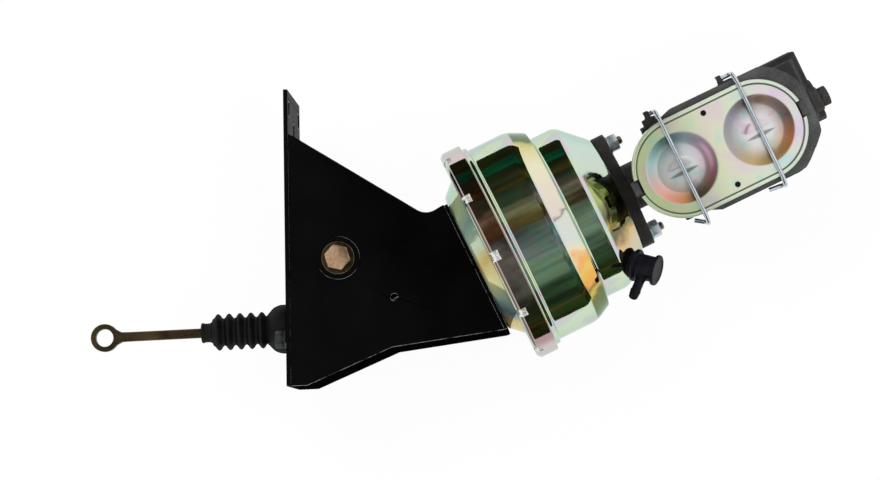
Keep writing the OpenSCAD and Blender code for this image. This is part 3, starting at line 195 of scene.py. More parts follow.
def rounded(points, radius, steps=6, closed=False):
    """The points with each inner corner replaced by a curve that starts radius before it.
    A point may carry its own radius as a last number."""
    size = 2 if len(points[0]) < 4 else 3
    corners = [Vector(p[:size]) for p in points]
    radii = [p[size] if len(p) > size else radius for p in points]
    made = []
    count = len(points)
    for i, corner in enumerate(corners):
        if not closed and i in (0, count - 1) or radii[i] == 0:
            made.append(corner)
            continue
        before, after = corners[i - 1] - corner, corners[(i + 1) % count] - corner
        reach = min(radii[i], before.length * MOST_OF_HALF, after.length * MOST_OF_HALF)
        a, c = corner + before.normalized() * reach, corner + after.normalized() * reach
        for k in range(steps + 1):
            t = k / steps
            made.append(a * (1 - t) ** 2 + corner * 2 * t * (1 - t) + c * t * t)
    return [tuple(p) for p in made]


def lathe(outline, steps=96):
    """A closed outline of (place along X, radius), or a function of the angle that gives
    one, turned about X."""
    if callable(outline):
        rows = [outline(2 * math.pi * i / steps) for i in range(steps)]
    else:
        rows = [outline] * steps
    count = len(rows[0])
    verts = [
        (x, r * math.sin(2 * math.pi * i / steps), r * math.cos(2 * math.pi * i / steps))
        for i, row in enumerate(rows) for x, r in row
    ]
    faces = []
    for i in range(steps):
        j = (i + 1) % steps
        for k in range(count):
            n = (k + 1) % count
            if rows[i][k][1] < 1e-6 and rows[i][n][1] < 1e-6:
                continue
            faces.append((i * count + k, i * count + n, j * count + n, j * count + k))
    return verts, faces


def hex_radius(across, angle):
    """Radius of a hexagon with slightly rounded corners at an angle."""
    fold = (angle + math.pi / 6) % (math.pi / 3) - math.pi / 6
    return min(across / 2 / math.cos(fold), across / 2 * HEX_CORNER)


def hexagon(across, hole, start, end):
    """A hexagon bar or nut along X with the corners of both ends chamfered."""
    flat_r = across / 2 * HEX_FACE

    def outline(angle):
        r = hex_radius(across, angle)
        drop = (r - flat_r) * 0.55
        edge = 0.3
        half = [(0, hole), (0, flat_r - edge), (edge / 3, flat_r), (drop, r - edge / 2), (drop + edge, r)]
        return [(start + x, y) for x, y in half] + [(end - x, y) for x, y in half[::-1]]
    return lathe(outline, 72)


def threaded(radius, start, end, pitch=1.25):
    """A round bar along X with a screw thread and a chamfered end."""
    per_turn = 6
    rows = int((end - start) / pitch * per_turn)
    depth = pitch * 0.45

    def outline(angle):
        made = [(start, 0)]
        for i in range(rows + 1):
            wave = abs((i / per_turn - angle / 2 / math.pi) % 1 - 0.5) * 2
            x = start + (end - start) * i / rows
            chamfer = max(0, x - end + 1.2) * 0.9
            made.append((x, max(radius - depth * (1 - wave) - chamfer, radius * 0.5)))
        return made + [(end, 0)]
    return lathe(outline, 36)


def new_object(name, data):
    obj = bpy.data.objects.new(name, data)
    bpy.context.scene.collection.objects.link(obj)
    return obj


def shown_mesh(obj):
    """A copy of the object's mesh as its modifiers leave it."""
    bpy.context.view_layer.update()
    return bpy.data.meshes.new_from_object(obj.evaluated_get(bpy.context.evaluated_depsgraph_get()))


def tube(points, radius, sides):
    """A round wire along the points, its ends closed."""
    curve = bpy.data.curves.new("wire", "CURVE")
    curve.dimensions = "3D"
    curve.bevel_depth = radius
    curve.bevel_resolution = sides
    curve.use_fill_caps = True
    spline = curve.splines.new("POLY")
    spline.points.add(len(points) - 1)
    for place, point in zip(spline.points, points):
        place.co = (*point, 1)
    wire = new_object("wire", curve)
    mesh = shown_mesh(wire)
    part = [tuple(v.co) for v in mesh.vertices], [tuple(f.vertices) for f in mesh.polygons]
    bpy.data.objects.remove(wire)
    return part


def placed(part, matrix):
    """A part moved by a matrix whose shift is in metres."""
    verts, faces = part
    return [tuple((matrix @ (Vector(v) * MM)) / MM) for v in verts], faces


def box_part(low, high):
    xs, ys, zs = zip(low, high)
    verts = [(x, y, z) for x in xs for y in ys for z in zs]
    return verts, [(0, 1, 3, 2), (4, 6, 7, 5), (0, 4, 5, 1), (2, 3, 7, 6), (0, 2, 6, 4), (1, 5, 7, 3)]


def shade(obj, angle):
    for polygon in obj.data.polygons:
        polygon.use_smooth = True
    obj.data.set_sharp_from_angle(angle=math.radians(angle))


def mesh_object(name, parts, place):
    """One object from several closed parts, in millimetres of the place's frame."""
    verts, faces = [], []
    for part_verts, part_faces in parts:
        first = len(verts)
        verts += [Vector(v) * MM for v in part_verts]
        faces += [[first + i for i in face] for face in part_faces]
    mesh = bpy.data.meshes.new(name)
    mesh.from_pydata(verts, [], faces)
    mesh.transform(place)
    obj = new_object(name, mesh)
    work = bmesh.new()
    work.from_mesh(mesh)
    bmesh.ops.remove_doubles(work, verts=work.verts, dist=1e-7)
    bmesh.ops.recalc_face_normals(work, faces=work.faces)
    work.to_mesh(mesh)
    work.free()
    return obj


def apply_modifiers(obj):
    mesh = shown_mesh(obj)
    obj.modifiers.clear()
    obj.data = mesh


def cut(obj, parts, place):
    """Cuts the parts out of obj."""
    cutter = mesh_object("cutter", parts, place)
    modifier = obj.modifiers.new("cut", "BOOLEAN")
    modifier.operation = "DIFFERENCE"
    modifier.solver = "EXACT"
    modifier.use_self = True
    modifier.object = cutter
    apply_modifiers(obj)
    bpy.data.objects.remove(cutter)


def dress(obj, body, slot, nodes, angle=35, look=None):
    """Gives a piece its material and body and hides the named nodes. Its look is the slot's own unless
    another is named."""
    obj.data.materials.clear()
    obj.data.materials.append(MATERIALS[look or slot])
    shade(obj, angle)
    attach(obj, body)
    if nodes:
        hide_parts(*nodes)


def piece(name, parts, place, *dressing):
    """A dressed object made from closed parts."""
    obj = mesh_object(name, parts, place)
    dress(obj, *dressing)
    return obj


def cast_copy(node, voxel, rounds):
    """A node's solid as one closed skin with its edges and inner corners softened."""
    obj = new_object(node + "_skin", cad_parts[node].data.copy())
    remesh = obj.modifiers.new("skin", "REMESH")
    remesh.mode = "VOXEL"
    remesh.voxel_size = voxel * MM
    smooth = obj.modifiers.new("soften", "SMOOTH")
    smooth.factor = 0.5
    smooth.iterations = rounds
    apply_modifiers(obj)
    return obj


# Materials


class Nodes:
    """A short way to build a material's node tree. The patterns lie in the object's own
    coordinates, or along the booster's axis."""

    def __init__(self, name, along_booster=False):
        self.material = bpy.data.materials.new(name)
        self.material.use_nodes = True
        self.tree = self.material.node_tree
        self.shader = self.tree.nodes["Principled BSDF"]
        self.place = self.new("ShaderNodeTexCoord").outputs["Object"]
        if along_booster:
            mapping = self.new("ShaderNodeMapping", vector_type="TEXTURE")
            mapping.inputs["Location"].default_value = SEAT * MM
            mapping.inputs["Rotation"].default_value = (BOOSTER_ROLL, 0, SEAT_ANGLE)
            self.link(self.place, mapping.inputs["Vector"])
            self.place = mapping.outputs["Vector"]

    def new(self, kind, **settings):
        node = self.tree.nodes.new(kind)
        for key, value in settings.items():
            setattr(node, key, value)
        return node

    def link(self, source, target):
        self.tree.links.new(source, target)

    def feed(self, socket, value):
        """Sets a socket to a number or a colour, or links another node's result to it."""
        if isinstance(value, (int, float)):
            socket.default_value = value
        elif isinstance(value, tuple):
            socket.default_value = (*value, 1)
        else:
            self.link(value, socket)

    def noise(self, size, detail=3.0, rough=0.5):
        """Noise whose features are about size millimetres."""
        node = self.new("ShaderNodeTexNoise")
        for key, value in (("Scale", 1 / (size * MM)), ("Detail", detail), ("Roughness", rough)):
            node.inputs[key].default_value = value
        self.link(self.place, node.inputs["Vector"])
        return node.outputs["Fac"]

    def ramp(self, value, stops):
        """A row of colours. Each stop is its place and its red, green and blue."""
        node = self.new("ShaderNodeValToRGB")
        elements = node.color_ramp.elements
        while len(elements) < len(stops):
            elements.new(0.5)
        for element, (place, *color) in zip(elements, stops):
            element.position = place
            element.color = (*color, 1)
        self.link(value, node.inputs["Fac"])
        return node.outputs["Color"]

    def math(self, operation, *values):
        node = self.new("ShaderNodeMath", operation=operation)
        for socket, value in zip(node.inputs, values):
            self.feed(socket, value)
        return node.outputs["Value"]

    def times(self, product, *factors):
        for factor in factors:
            product = self.math("MULTIPLY", product, factor)
        return product

    def scaled(self, value, factor, offset):
        return self.math("MULTIPLY_ADD", value, factor, offset)

    def length(self, a, b):
        return self.math("SQRT", self.math("ADD", self.times(a, a), self.times(b, b)))

    def mix(self, factor, a, b):
        node = self.new("ShaderNodeMix", data_type="RGBA")
        for socket, value in ((node.inputs["Factor"], factor), (node.inputs[6], a), (node.inputs[7], b)):
            self.feed(socket, value)
        return node.outputs[2]

    def split(self, vector):
        node = self.new("ShaderNodeSeparateXYZ")
        self.link(vector, node.inputs["Vector"])
        return node.outputs["X"], node.outputs["Y"], node.outputs["Z"]

    def axes(self):
        return self.split(self.place)

    def normal_axes(self):
        return self.split(self.new("ShaderNodeNewGeometry").outputs["Normal"])

    def remap(self, value, low, high, start=0.0, end=1.0, kind="LINEAR"):
        node = self.new("ShaderNodeMapRange", interpolation_type=kind)
        for key, number in (("From Min", low), ("From Max", high), ("To Min", start), ("To Max", end)):
            node.inputs[key].default_value = number
        self.link(value, node.inputs["Value"])
        return node.outputs["Result"]

    def span(self, value, low, high):
        """A value's place between low and high, from 0 to 1, with soft ends."""
        return self.remap(value, low, high, kind="SMOOTHSTEP")

    def band(self, value, rise, fall):
        """1 between the two pairs: it fades in over rise and out over fall."""
        return self.times(self.span(value, *rise), self.span(value, *fall))

    def head_on(self, low, high):
        """1 where the surface faces the viewer, 0 where it is seen nearly edge-on."""
        node = self.new("ShaderNodeLayerWeight")
        return self.span(node.outputs["Facing"], high, low)

    def bump(self, height, distance, normal=None):
        node = self.new("ShaderNodeBump")
        node.inputs["Distance"].default_value = distance * MM
        node.inputs["Strength"].default_value = 1.0
        self.link(height, node.inputs["Height"])
        if normal:
            self.link(normal, node.inputs["Normal"])
        return node.outputs["Normal"]

    def set(self, **values):
        for key, value in values.items():
            self.feed(self.shader.inputs[key.replace("_", " ").title().replace("Ior", "IOR")], value)

    def show(self, shader):
        self.link(shader.outputs[0], self.tree.nodes["Material Output"].inputs["Surface"])


def plain_metal(name, dark, light, grain, roughness, metallic=1.0, bump=0.02):
    """A metal whose tone and gloss vary with a fine grain and broad stains."""
    n = Nodes(name)
    fine = n.noise(grain, 4)
    broad = n.noise(grain * 14, 3)
    tone = n.math("ADD", n.times(fine, 0.4), n.times(broad, 0.6))
    n.set(Base_Color=n.ramp(tone, [(0.32, *dark), (0.68, *light)]), Metallic=metallic)
    n.set(Roughness=n.scaled(fine, roughness * 0.8, roughness * 0.6))
    n.set(Normal=n.bump(fine, bump))
    return n.material


def black_paint():
    """Gloss black enamel with a slight orange peel, with a grey painted highlight along its upper edges."""
    n = Nodes("black_paint")
    dust = n.noise(40, 5)
    paint = n.ramp(dust, [(0.3, 0.0008, 0.0008, 0.001), (0.75, 0.002, 0.002, 0.0022)])
    # Painted highlight: bevels that lean up and face down or to the front turn grey, in patches
    x, y, z = n.normal_axes()
    edge = n.band(z, (0.3, 0.45), (0.97, 0.88))
    low_or_front = n.math("MAXIMUM", n.span(y, -0.3, -0.5), n.span(n.math("ADD", x, y), 0.76, 0.86))
    painted_edge_highlight = n.times(edge, low_or_front, n.span(n.noise(7, 3), 0.3, 0.6))
    n.set(Base_Color=n.mix(painted_edge_highlight, paint, (0.3, 0.3, 0.31)))
    # Edge-on faces stay dark: the plates' lower sides most, their front a little less
    sheen = n.times(n.span(y, -0.6, -0.3), 0.0007)
    gloss = n.math("MAXIMUM", n.times(n.head_on(0.3, 0.6), 0.03), sheen)
    n.set(Roughness=n.scaled(dust, 0.1, 0.16), Specular_Ior_Level=gloss)
    n.set(Normal=n.bump(n.noise(3.2, 2), 0.012))
    return n.material


def black_skin(name, broad, tones, gloss, roughness, grain, depth):
    """Black rubber or plastic, darkest where it is seen edge-on, with a fine grain."""
    n = Nodes(name)
    tone = n.noise(*broad)
    low, high, level = gloss
    n.set(Base_Color=n.ramp(tone, [(0.3, *tones[0]), (0.7, *tones[1])]))
    n.set(Specular_Ior_Level=n.times(n.head_on(low, high), level))
    n.set(Roughness=n.scaled(tone, *roughness), Normal=n.bump(n.noise(*grain), depth))
    return n.material


def washer_gold():
    """Yellow zinc, gold on the rim, with its flat faces painted nearly black as a painted dark reflection."""
    n = Nodes("washer_gold")
    z = n.normal_axes()[2]
    # Painted dark reflection on the faces that point along Z; the rim keeps the zinc's gold
    flat = n.ramp(n.noise(4, 3), [(0.3, 0.01, 0.008, 0.005), (0.7, 0.04, 0.028, 0.014)])
    n.set(Base_Color=n.mix(n.span(n.math("ABSOLUTE", z), 0.96, 0.75), flat, (0.62, 0.42, 0.2)))
    n.set(Metallic=0.9, Roughness=0.3, Normal=n.bump(n.noise(2, 2), 0.004))
    return n.material


IRON_TONES = [(0.34, 0.006, 0.005, 0.005), (0.5, 0.018, 0.016, 0.015), (0.68, 0.05, 0.047, 0.045)]
# Where the casting's tone turns into its deck's, in metres off the booster's axis
DECK_EDGE = (0.0585, 0.06)


def cast_iron():
    """Dark coated casting: a sandy grain, broad tone, and a paler machined deck."""
    n = Nodes("dark_cast_iron", True)
    sand = n.noise(1.8, 5, rough=0.75)
    pits = n.noise(3.2, 3)
    broad = n.noise(26, 4)
    speck = n.math("ADD", n.times(broad, 0.5), n.times(sand, 0.5))
    body = n.ramp(speck, IRON_TONES)
    deck = n.ramp(speck, [(0.36, 0.022, 0.022, 0.022), (0.64, 0.095, 0.095, 0.095)])
    above_deck = n.span(n.axes()[2], *DECK_EDGE)
    n.set(Base_Color=n.mix(above_deck, body, deck))
    n.set(Metallic=0.15, Roughness=n.scaled(sand, 0.3, 0.42))
    n.set(Specular_Ior_Level=n.times(n.head_on(0.4, 1.0), 0.4))
    n.set(Normal=n.bump(pits, 0.16, normal=n.bump(sand, 0.14)))
    return n.material


# The plating's own stains: mint, lilac, cream and pink
ZINC_STAINS = [
    (0.26, 0.44, 0.64, 0.56), (0.36, 0.58, 0.72, 0.6), (0.45, 0.68, 0.72, 0.5), (0.51, 0.52, 0.66, 0.6),
    (0.57, 0.72, 0.56, 0.58), (0.63, 0.56, 0.62, 0.7), (0.72, 0.48, 0.66, 0.6)
]
# Bands of colour along the booster's axis, in metres: where each one fades in and out
SHOULDER_BAND = ((0.075, 0.0768), (0.092, 0.0905))
RIM_BAND = ((0.015, 0.0162), (0.033, 0.0325))
FOLD_BAND = ((0.0134, 0.0138), (0.0158, 0.015))
CONE_EDGE = (0.115, 0.117)
BACK_EDGE = (0.014, 0.0125)
# The rim's tint, with a dark painted reflection where it faces up and a pale painted reflection towards its
# ends
RIM_TINT_AND_DARK_REFLECTION = (0.42, 0.24, 0.24)
RIM_END_TINT_AND_PALE_REFLECTION = (0.7, 0.55, 0.58)
# Painted shade in the rim's rear fold
FOLD_PAINTED_SHADE = (0.1, 0.06, 0.05)
# Stains and painted reflections of the sloping faces by the angle about the booster's axis, as places from
# its lower side (0) over the top (0.5) to its upper side (1): the dark and bright bands stand for reflected
# surroundings over the plating's tints
SHOULDER_STAINS_AND_REFLECTIONS = [
    (0.2, 0.5, 0.64, 0.5), (0.27, 0.4, 0.48, 0.26), (0.3, 0.08, 0.11, 0.01), (0.355, 0.12, 0.13, 0.01),
    (0.37, 0.7, 0.48, 0.04), (0.385, 0.2, 0.12, 0.01), (0.395, 0.88, 0.38, 0.03), (0.42, 0.84, 0.56, 0.1),
    (0.435, 0.92, 0.4, 0.06), (0.455, 0.88, 0.74, 0.5), (0.47, 0.68, 0.74, 0.66), (0.515, 0.72, 0.72, 0.66),
    (0.52, 0.22, 0.2, 0.15), (0.525, 0.76, 0.68, 0.6), (0.6, 0.84, 0.78, 0.56), (0.66, 0.72, 0.66, 0.24),
    (0.685, 0.1, 0.12, 0.02), (0.72, 0.12, 0.16, 0.04), (0.745, 0.58, 0.7, 0.54)
]
CONE_STAINS_AND_REFLECTIONS = [
    (0.22, 0.5, 0.64, 0.5), (0.31, 0.6, 0.66, 0.3), (0.37, 0.74, 0.6, 0.46), (0.41, 0.7, 0.46, 0.18),
    (0.435, 0.1, 0.08, 0.02), (0.46, 0.5, 0.36, 0.06), (0.49, 0.05, 0.06, 0.02), (0.52, 0.46, 0.5, 0.12),
    (0.55, 0.07, 0.1, 0.05), (0.57, 0.6, 0.7, 0.58), (0.66, 0.62, 0.74, 0.68), (0.75, 0.5, 0.66, 0.56)
]
REAR_STAINS_AND_REFLECTIONS = [
    (0.24, 0.55, 0.68, 0.6), (0.3, 0.9, 0.58, 0.1), (0.345, 0.84, 0.6, 0.18), (0.38, 0.16, 0.32, 0.4),
    (0.42, 0.42, 0.56, 0.42), (0.47, 0.68, 0.64, 0.28), (0.51, 0.5, 0.34, 0.06), (0.545, 0.48, 0.62, 0.46),
    (0.59, 0.24, 0.42, 0.36), (0.64, 0.64, 0.74, 0.34), (0.7, 0.54, 0.74, 0.64), (0.76, 0.5, 0.66, 0.56)
]


def yellow_zinc():
    """Bright stamped steel under iridescent yellow zinc: a mirror with stains, painted reflections on its
    sloping faces and rim, and painted shade in the rim's fold.
    """
    n = Nodes("yellow_zinc", True)
    x, y, z = n.axes()
    color = n.ramp(n.noise(34, 3), ZINC_STAINS)
    angle = n.math("ARCTAN2", y, z)
    wander = n.scaled(n.noise(20, 3), 0.08, -0.04)
    turn = n.math("ADD", n.scaled(angle, 0.5 / math.pi, 0.5), wander)
    shoulder, cone, back = n.band(x, *SHOULDER_BAND), n.span(x, *CONE_EDGE), n.span(x, *BACK_EDGE)
    # Painted reflections: bands by the angle about the axis on the shoulder, cone and rear, over the stains
    for share, stops in ((shoulder, SHOULDER_STAINS_AND_REFLECTIONS), (cone, CONE_STAINS_AND_REFLECTIONS), (back, REAR_STAINS_AND_REFLECTIONS)):
        color = n.mix(n.times(share, 0.88), color, n.ramp(turn, stops))
    # Painted reflection on the rim: dark on its upper part, pale towards its sides
    middle = n.span(n.math("ABSOLUTE", angle), 1.12, 0.95)
    color = n.mix(n.times(n.band(x, *RIM_BAND), 0.9), color, n.mix(middle, RIM_END_TINT_AND_PALE_REFLECTION, RIM_TINT_AND_DARK_REFLECTION))
    # Painted shade in the rim's rear fold, on its upper part only
    color = n.mix(n.times(n.band(x, *FOLD_BAND), middle, 0.9), color, FOLD_PAINTED_SHADE)
    n.set(Base_Color=color, Metallic=n.scaled(back, -0.55, 1.0), Specular_Tint=(0.72, 0.84, 0.78))
    n.set(Roughness=n.scaled(n.noise(18, 4), 0.08, 0.01))
    n.set(Normal=n.bump(n.noise(26, 2), 0.14, normal=n.bump(n.noise(3.5, 2), 0.003)))
    return n.material


LID_TONES = [
    (0.0, 0.54, 0.61, 0.32), (0.2, 0.54, 0.61, 0.44), (0.5, 0.56, 0.58, 0.5), (0.75, 0.52, 0.58, 0.56),
    (1.0, 0.52, 0.54, 0.66)
]
LID_STAINS = [
    (0.3, 0.36, 0.66, 0.62), (0.42, 0.66, 0.7, 0.38), (0.52, 0.72, 0.6, 0.48),
    (0.62, 0.7, 0.46, 0.58), (0.74, 0.44, 0.5, 0.76)
]
DISH_FLOOR = [
    (0.3, 0.36, 0.56, 0.58), (0.44, 0.56, 0.62, 0.58), (0.56, 0.64, 0.62, 0.64), (0.66, 0.6, 0.46, 0.52),
    (0.75, 0.42, 0.44, 0.62)
]
GROOVE_PAINTED_SHADE = (0.06, 0.11, 0.06)
FOLD_MINT_PAINTED_HIGHLIGHT = (0.58, 0.7, 0.54)
LENS_PAINTED_SHADE = (0.16, 0.12, 0.12)
MOON_PINK = (0.62, 0.5, 0.54)
# Each dish holds a pressed lens below a half moon, both along the booster's axis
LENS_V = -4.6
LENS_HALF = 14
LENS_RISE = 2
MOON_V = 0.6
MOON_R = 13
MOON_RISE = 9
# Painted shade and painted reflections over the zinc's tints on the two dishes' walls, by the angle about
# each dish, from the lower end of the lid round through the booster's side
REAR_DISH_SHADE_AND_REFLECTION = [
    (0.0, 0.04, 0.028, 0.015), (0.06, 0.46, 0.17, 0.06), (0.18, 0.66, 0.32, 0.3), (0.34, 0.28, 0.46, 0.46),
    (0.47, 0.018, 0.09, 0.08), (0.58, 0.3, 0.38, 0.46), (0.7, 0.46, 0.26, 0.38), (0.84, 0.28, 0.11, 0.14),
    (0.94, 0.08, 0.05, 0.03), (1.0, 0.04, 0.028, 0.015)
]
FRONT_DISH_SHADE_AND_REFLECTION = [
    (0.0, 0.16, 0.1, 0.03), (0.1, 0.46, 0.32, 0.14), (0.24, 0.34, 0.32, 0.32),
    (0.38, 0.24, 0.24, 0.3), (0.5, 0.06, 0.042, 0.036), (0.6, 0.34, 0.22, 0.18),
    (0.74, 0.14, 0.08, 0.085), (0.86, 0.56, 0.2, 0.06), (0.94, 0.34, 0.18, 0.05), (1.0, 0.16, 0.1, 0.03)
]


def pale_zinc():
    """The lid: satin iridescent zinc, with painted shade and painted reflections on its two dishes' walls,
    painted shade in its groove and the dishes' lenses, and a painted highlight on its fold.
    """
    n = Nodes("pale_zinc", True)
    x, y = n.axes()[:2]
    along = n.span(x, (LID_U - LID_LEN / 2) * MM, (LID_U + LID_LEN / 2) * MM)
    stains = n.ramp(n.noise(22, 3), LID_STAINS)
    color = n.mix(0.42, n.ramp(along, LID_TONES), stains)
    # The distance from the lid's edge picks out the fold and the groove inside it, for a painted highlight on
    # the fold and painted shade in the groove
    off_middle = n.math("ABSOLUTE", n.math("SUBTRACT", x, LID_U * MM))
    out = n.math("MAXIMUM", n.math("SUBTRACT", off_middle, (LID_LEN - LID_W) / 2 * MM), 0.0)
    edge = n.math("SUBTRACT", LID_W / 2 * MM, n.length(out, y))
    # Pale mint painted highlight on the rolled edge
    color = n.mix(n.times(n.span(edge, 0.0032, 0.0026), 0.6), color, FOLD_MINT_PAINTED_HIGHLIGHT)
    # Dark green painted shade in the groove
    groove = n.band(edge, (0.003, 0.0036), (0.005, 0.0043))
    color = n.mix(n.times(groove, 0.9), color, GROOVE_PAINTED_SHADE)
    for sign, stops in ((-1, REAR_DISH_SHADE_AND_REFLECTION), (1, FRONT_DISH_SHADE_AND_REFLECTION)):
        dx = n.math("SUBTRACT", x, (LID_U + sign * DISH_GAP / 2) * MM)
        angle = n.math("ARCTAN2", dx, n.times(y, -1.0))
        share = n.math("FRACT", n.math("ADD", n.times(angle, -0.5 / math.pi), 1.0))
        reach = n.length(dx, y)
        # Painted shade and reflections on each dish's wall, strongest near its rim
        wall = n.band(reach, (0.009, 0.0285), (0.0322, 0.0304))
        color = n.mix(n.span(reach, 0.026, 0.02), color, n.ramp(n.noise(16, 3), DISH_FLOOR))
        color = n.mix(n.times(wall, 0.95), color, n.ramp(share, stops))
        # Painted shade in each dish's pressed lens
        square = n.times(dx, dx, (LENS_HALF * MM) ** -2)
        rise = n.scaled(square, -LENS_RISE * MM, LENS_RISE * MM)
        off = n.math("ABSOLUTE", n.math("ADD", y, -LENS_V * MM))
        lens = n.span(n.math("SUBTRACT", off, rise), 0.0006, -0.001)
        color = n.mix(n.times(lens, 0.75), color, LENS_PAINTED_SHADE)
        above = n.math("ADD", y, -MOON_V * MM)
        tall = n.times(above, MOON_R / MOON_RISE)
        moon = n.span(n.length(dx, tall), MOON_R * MM, (MOON_R - 2) * MM)
        moon = n.times(n.span(above, 0.0, 0.001), moon)
        color = n.mix(n.times(moon, 0.6), color, MOON_PINK)
    n.set(Base_Color=color, Metallic=0.6, Specular_Ior_Level=0.2)
    n.set(Roughness=n.scaled(n.noise(9, 4), 0.12, 0.12))
    n.set(Normal=n.bump(n.noise(2.2, 3), 0.006))
    return n.material


# Dark and light tone, grain in millimetres, roughness, and where they differ from a bare
# metal's, the share of metal and the depth of the grain
METALS = {
    "grey_zinc": ((0.44, 0.49, 0.54), (0.74, 0.8, 0.86), 2.4, 0.42, 0.8, 0.01),
    "gold_zinc": ((0.28, 0.16, 0.08), (0.66, 0.46, 0.31), 2.6, 0.3, 0.9, 0.006),
    "bright_stamp": ((0.7, 0.7, 0.68), (0.92, 0.92, 0.9), 0.9, 0.38, 0.7),
    "stud_bronze": ((0.16, 0.12, 0.08), (0.42, 0.34, 0.24), 1.4, 0.4),
    "aged_bronze_zinc": ((0.014, 0.01, 0.005), (0.085, 0.062, 0.028), 1.8, 0.45, 1.0, 0.05),
    "bare_steel": ((0.42, 0.43, 0.44), (0.62, 0.63, 0.64), 1.2, 0.32),
    "dark_steel": ((0.022, 0.023, 0.025), (0.075, 0.077, 0.08), 1.4, 0.45),
    "bright_wire": ((0.5, 0.54, 0.6), (0.64, 0.69, 0.76), 4.0, 0.22, 1.0, 0.004),
    "aluminium": ((0.56, 0.57, 0.58), (0.74, 0.75, 0.76), 1.0, 0.36),
    "brass": ((0.42, 0.28, 0.09), (0.66, 0.48, 0.2), 1.2, 0.3),
}
MATERIALS = {name: plain_metal(name, *row) for name, row in METALS.items()}
MATERIALS.update(
    black_paint=black_paint(), yellow_zinc=yellow_zinc(), pale_zinc=pale_zinc(), dark_cast_iron=cast_iron(),
    washer_gold=washer_gold(),
    black_rubber=black_skin("black_rubber", (12, 4), ((0.0028, 0.0028, 0.0032), (0.0065, 0.0065, 0.007)),
        (0.3, 0.85, 0.1), (0.25, 0.36), (0.8, 3), 0.03),
    black_plastic=black_skin("black_plastic", (9, 3), ((0.003, 0.0028, 0.0045), (0.0075, 0.007, 0.011)),
        (0.35, 0.95, 0.09), (0.12, 0.2), (1.2, 2), 0.01)
)

SLOTS = {
    "black_paint": "firewall_plate bracket_side_near bracket_side_far bracket_floor booster_plate "
        "pivot_rings boot_retainer",
    "yellow_zinc": "divider_plate",
    "grey_zinc": "rear_nuts",
    "bare_steel": "pivot_sleeve rear_studs input_rod valve_plunger output_rod return_spring bore_springs "
        "snap_ring pedal_pin input_pin",
    "dark_steel": "bellcrank pedal_fork input_fork pedal_jam_nut input_jam_nut stop_screw",
    "aluminium": "primary_piston secondary_piston rear_diaphragm_plate front_diaphragm_plate",
    "brass": "bellcrank_bushings tube_seats",
    "black_rubber": "divider_seal front_seal lid_gasket rear_diaphragm front_diaphragm reaction_disc "
        "poppet_valve primary_cups secondary_cups",
    "black_plastic": "rear_bearing power_valve_body check_valve_disc",
}
BEVELS = {
    0.4: "rear_nuts",
    0.5: "firewall_plate booster_plate pivot_rings boot_retainer pedal_fork input_fork",
    0.6: "bracket_side_near bracket_side_far bracket_floor bellcrank",
}


def dress_cad_nodes():
    widths = {name: width for width, names in BEVELS.items() for name in names.split()}
    for slot, names in SLOTS.items():
        for name in names.split():
            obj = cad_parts[name]
            obj.data.materials.clear()
            obj.data.materials.append(MATERIALS[slot])
            if name in widths:
                obj.modifiers.new("weld", "WELD").merge_threshold = 0.01 * MM
                bevel = obj.modifiers.new("edge", "BEVEL")
                bevel.width = widths[name] * MM
                bevel.segments = 3
                bevel.limit_method = "ANGLE"
                bevel.angle_limit = math.radians(40)
                bevel.harden_normals = True


# Booster shells


def off_lance(angle):
    """Distance round the rim from the nearest lance's middle."""
    step = 2 * math.pi / LANCES
    return ((angle - LANCE_TURN + step / 2) % step - step / 2) * RIM_R


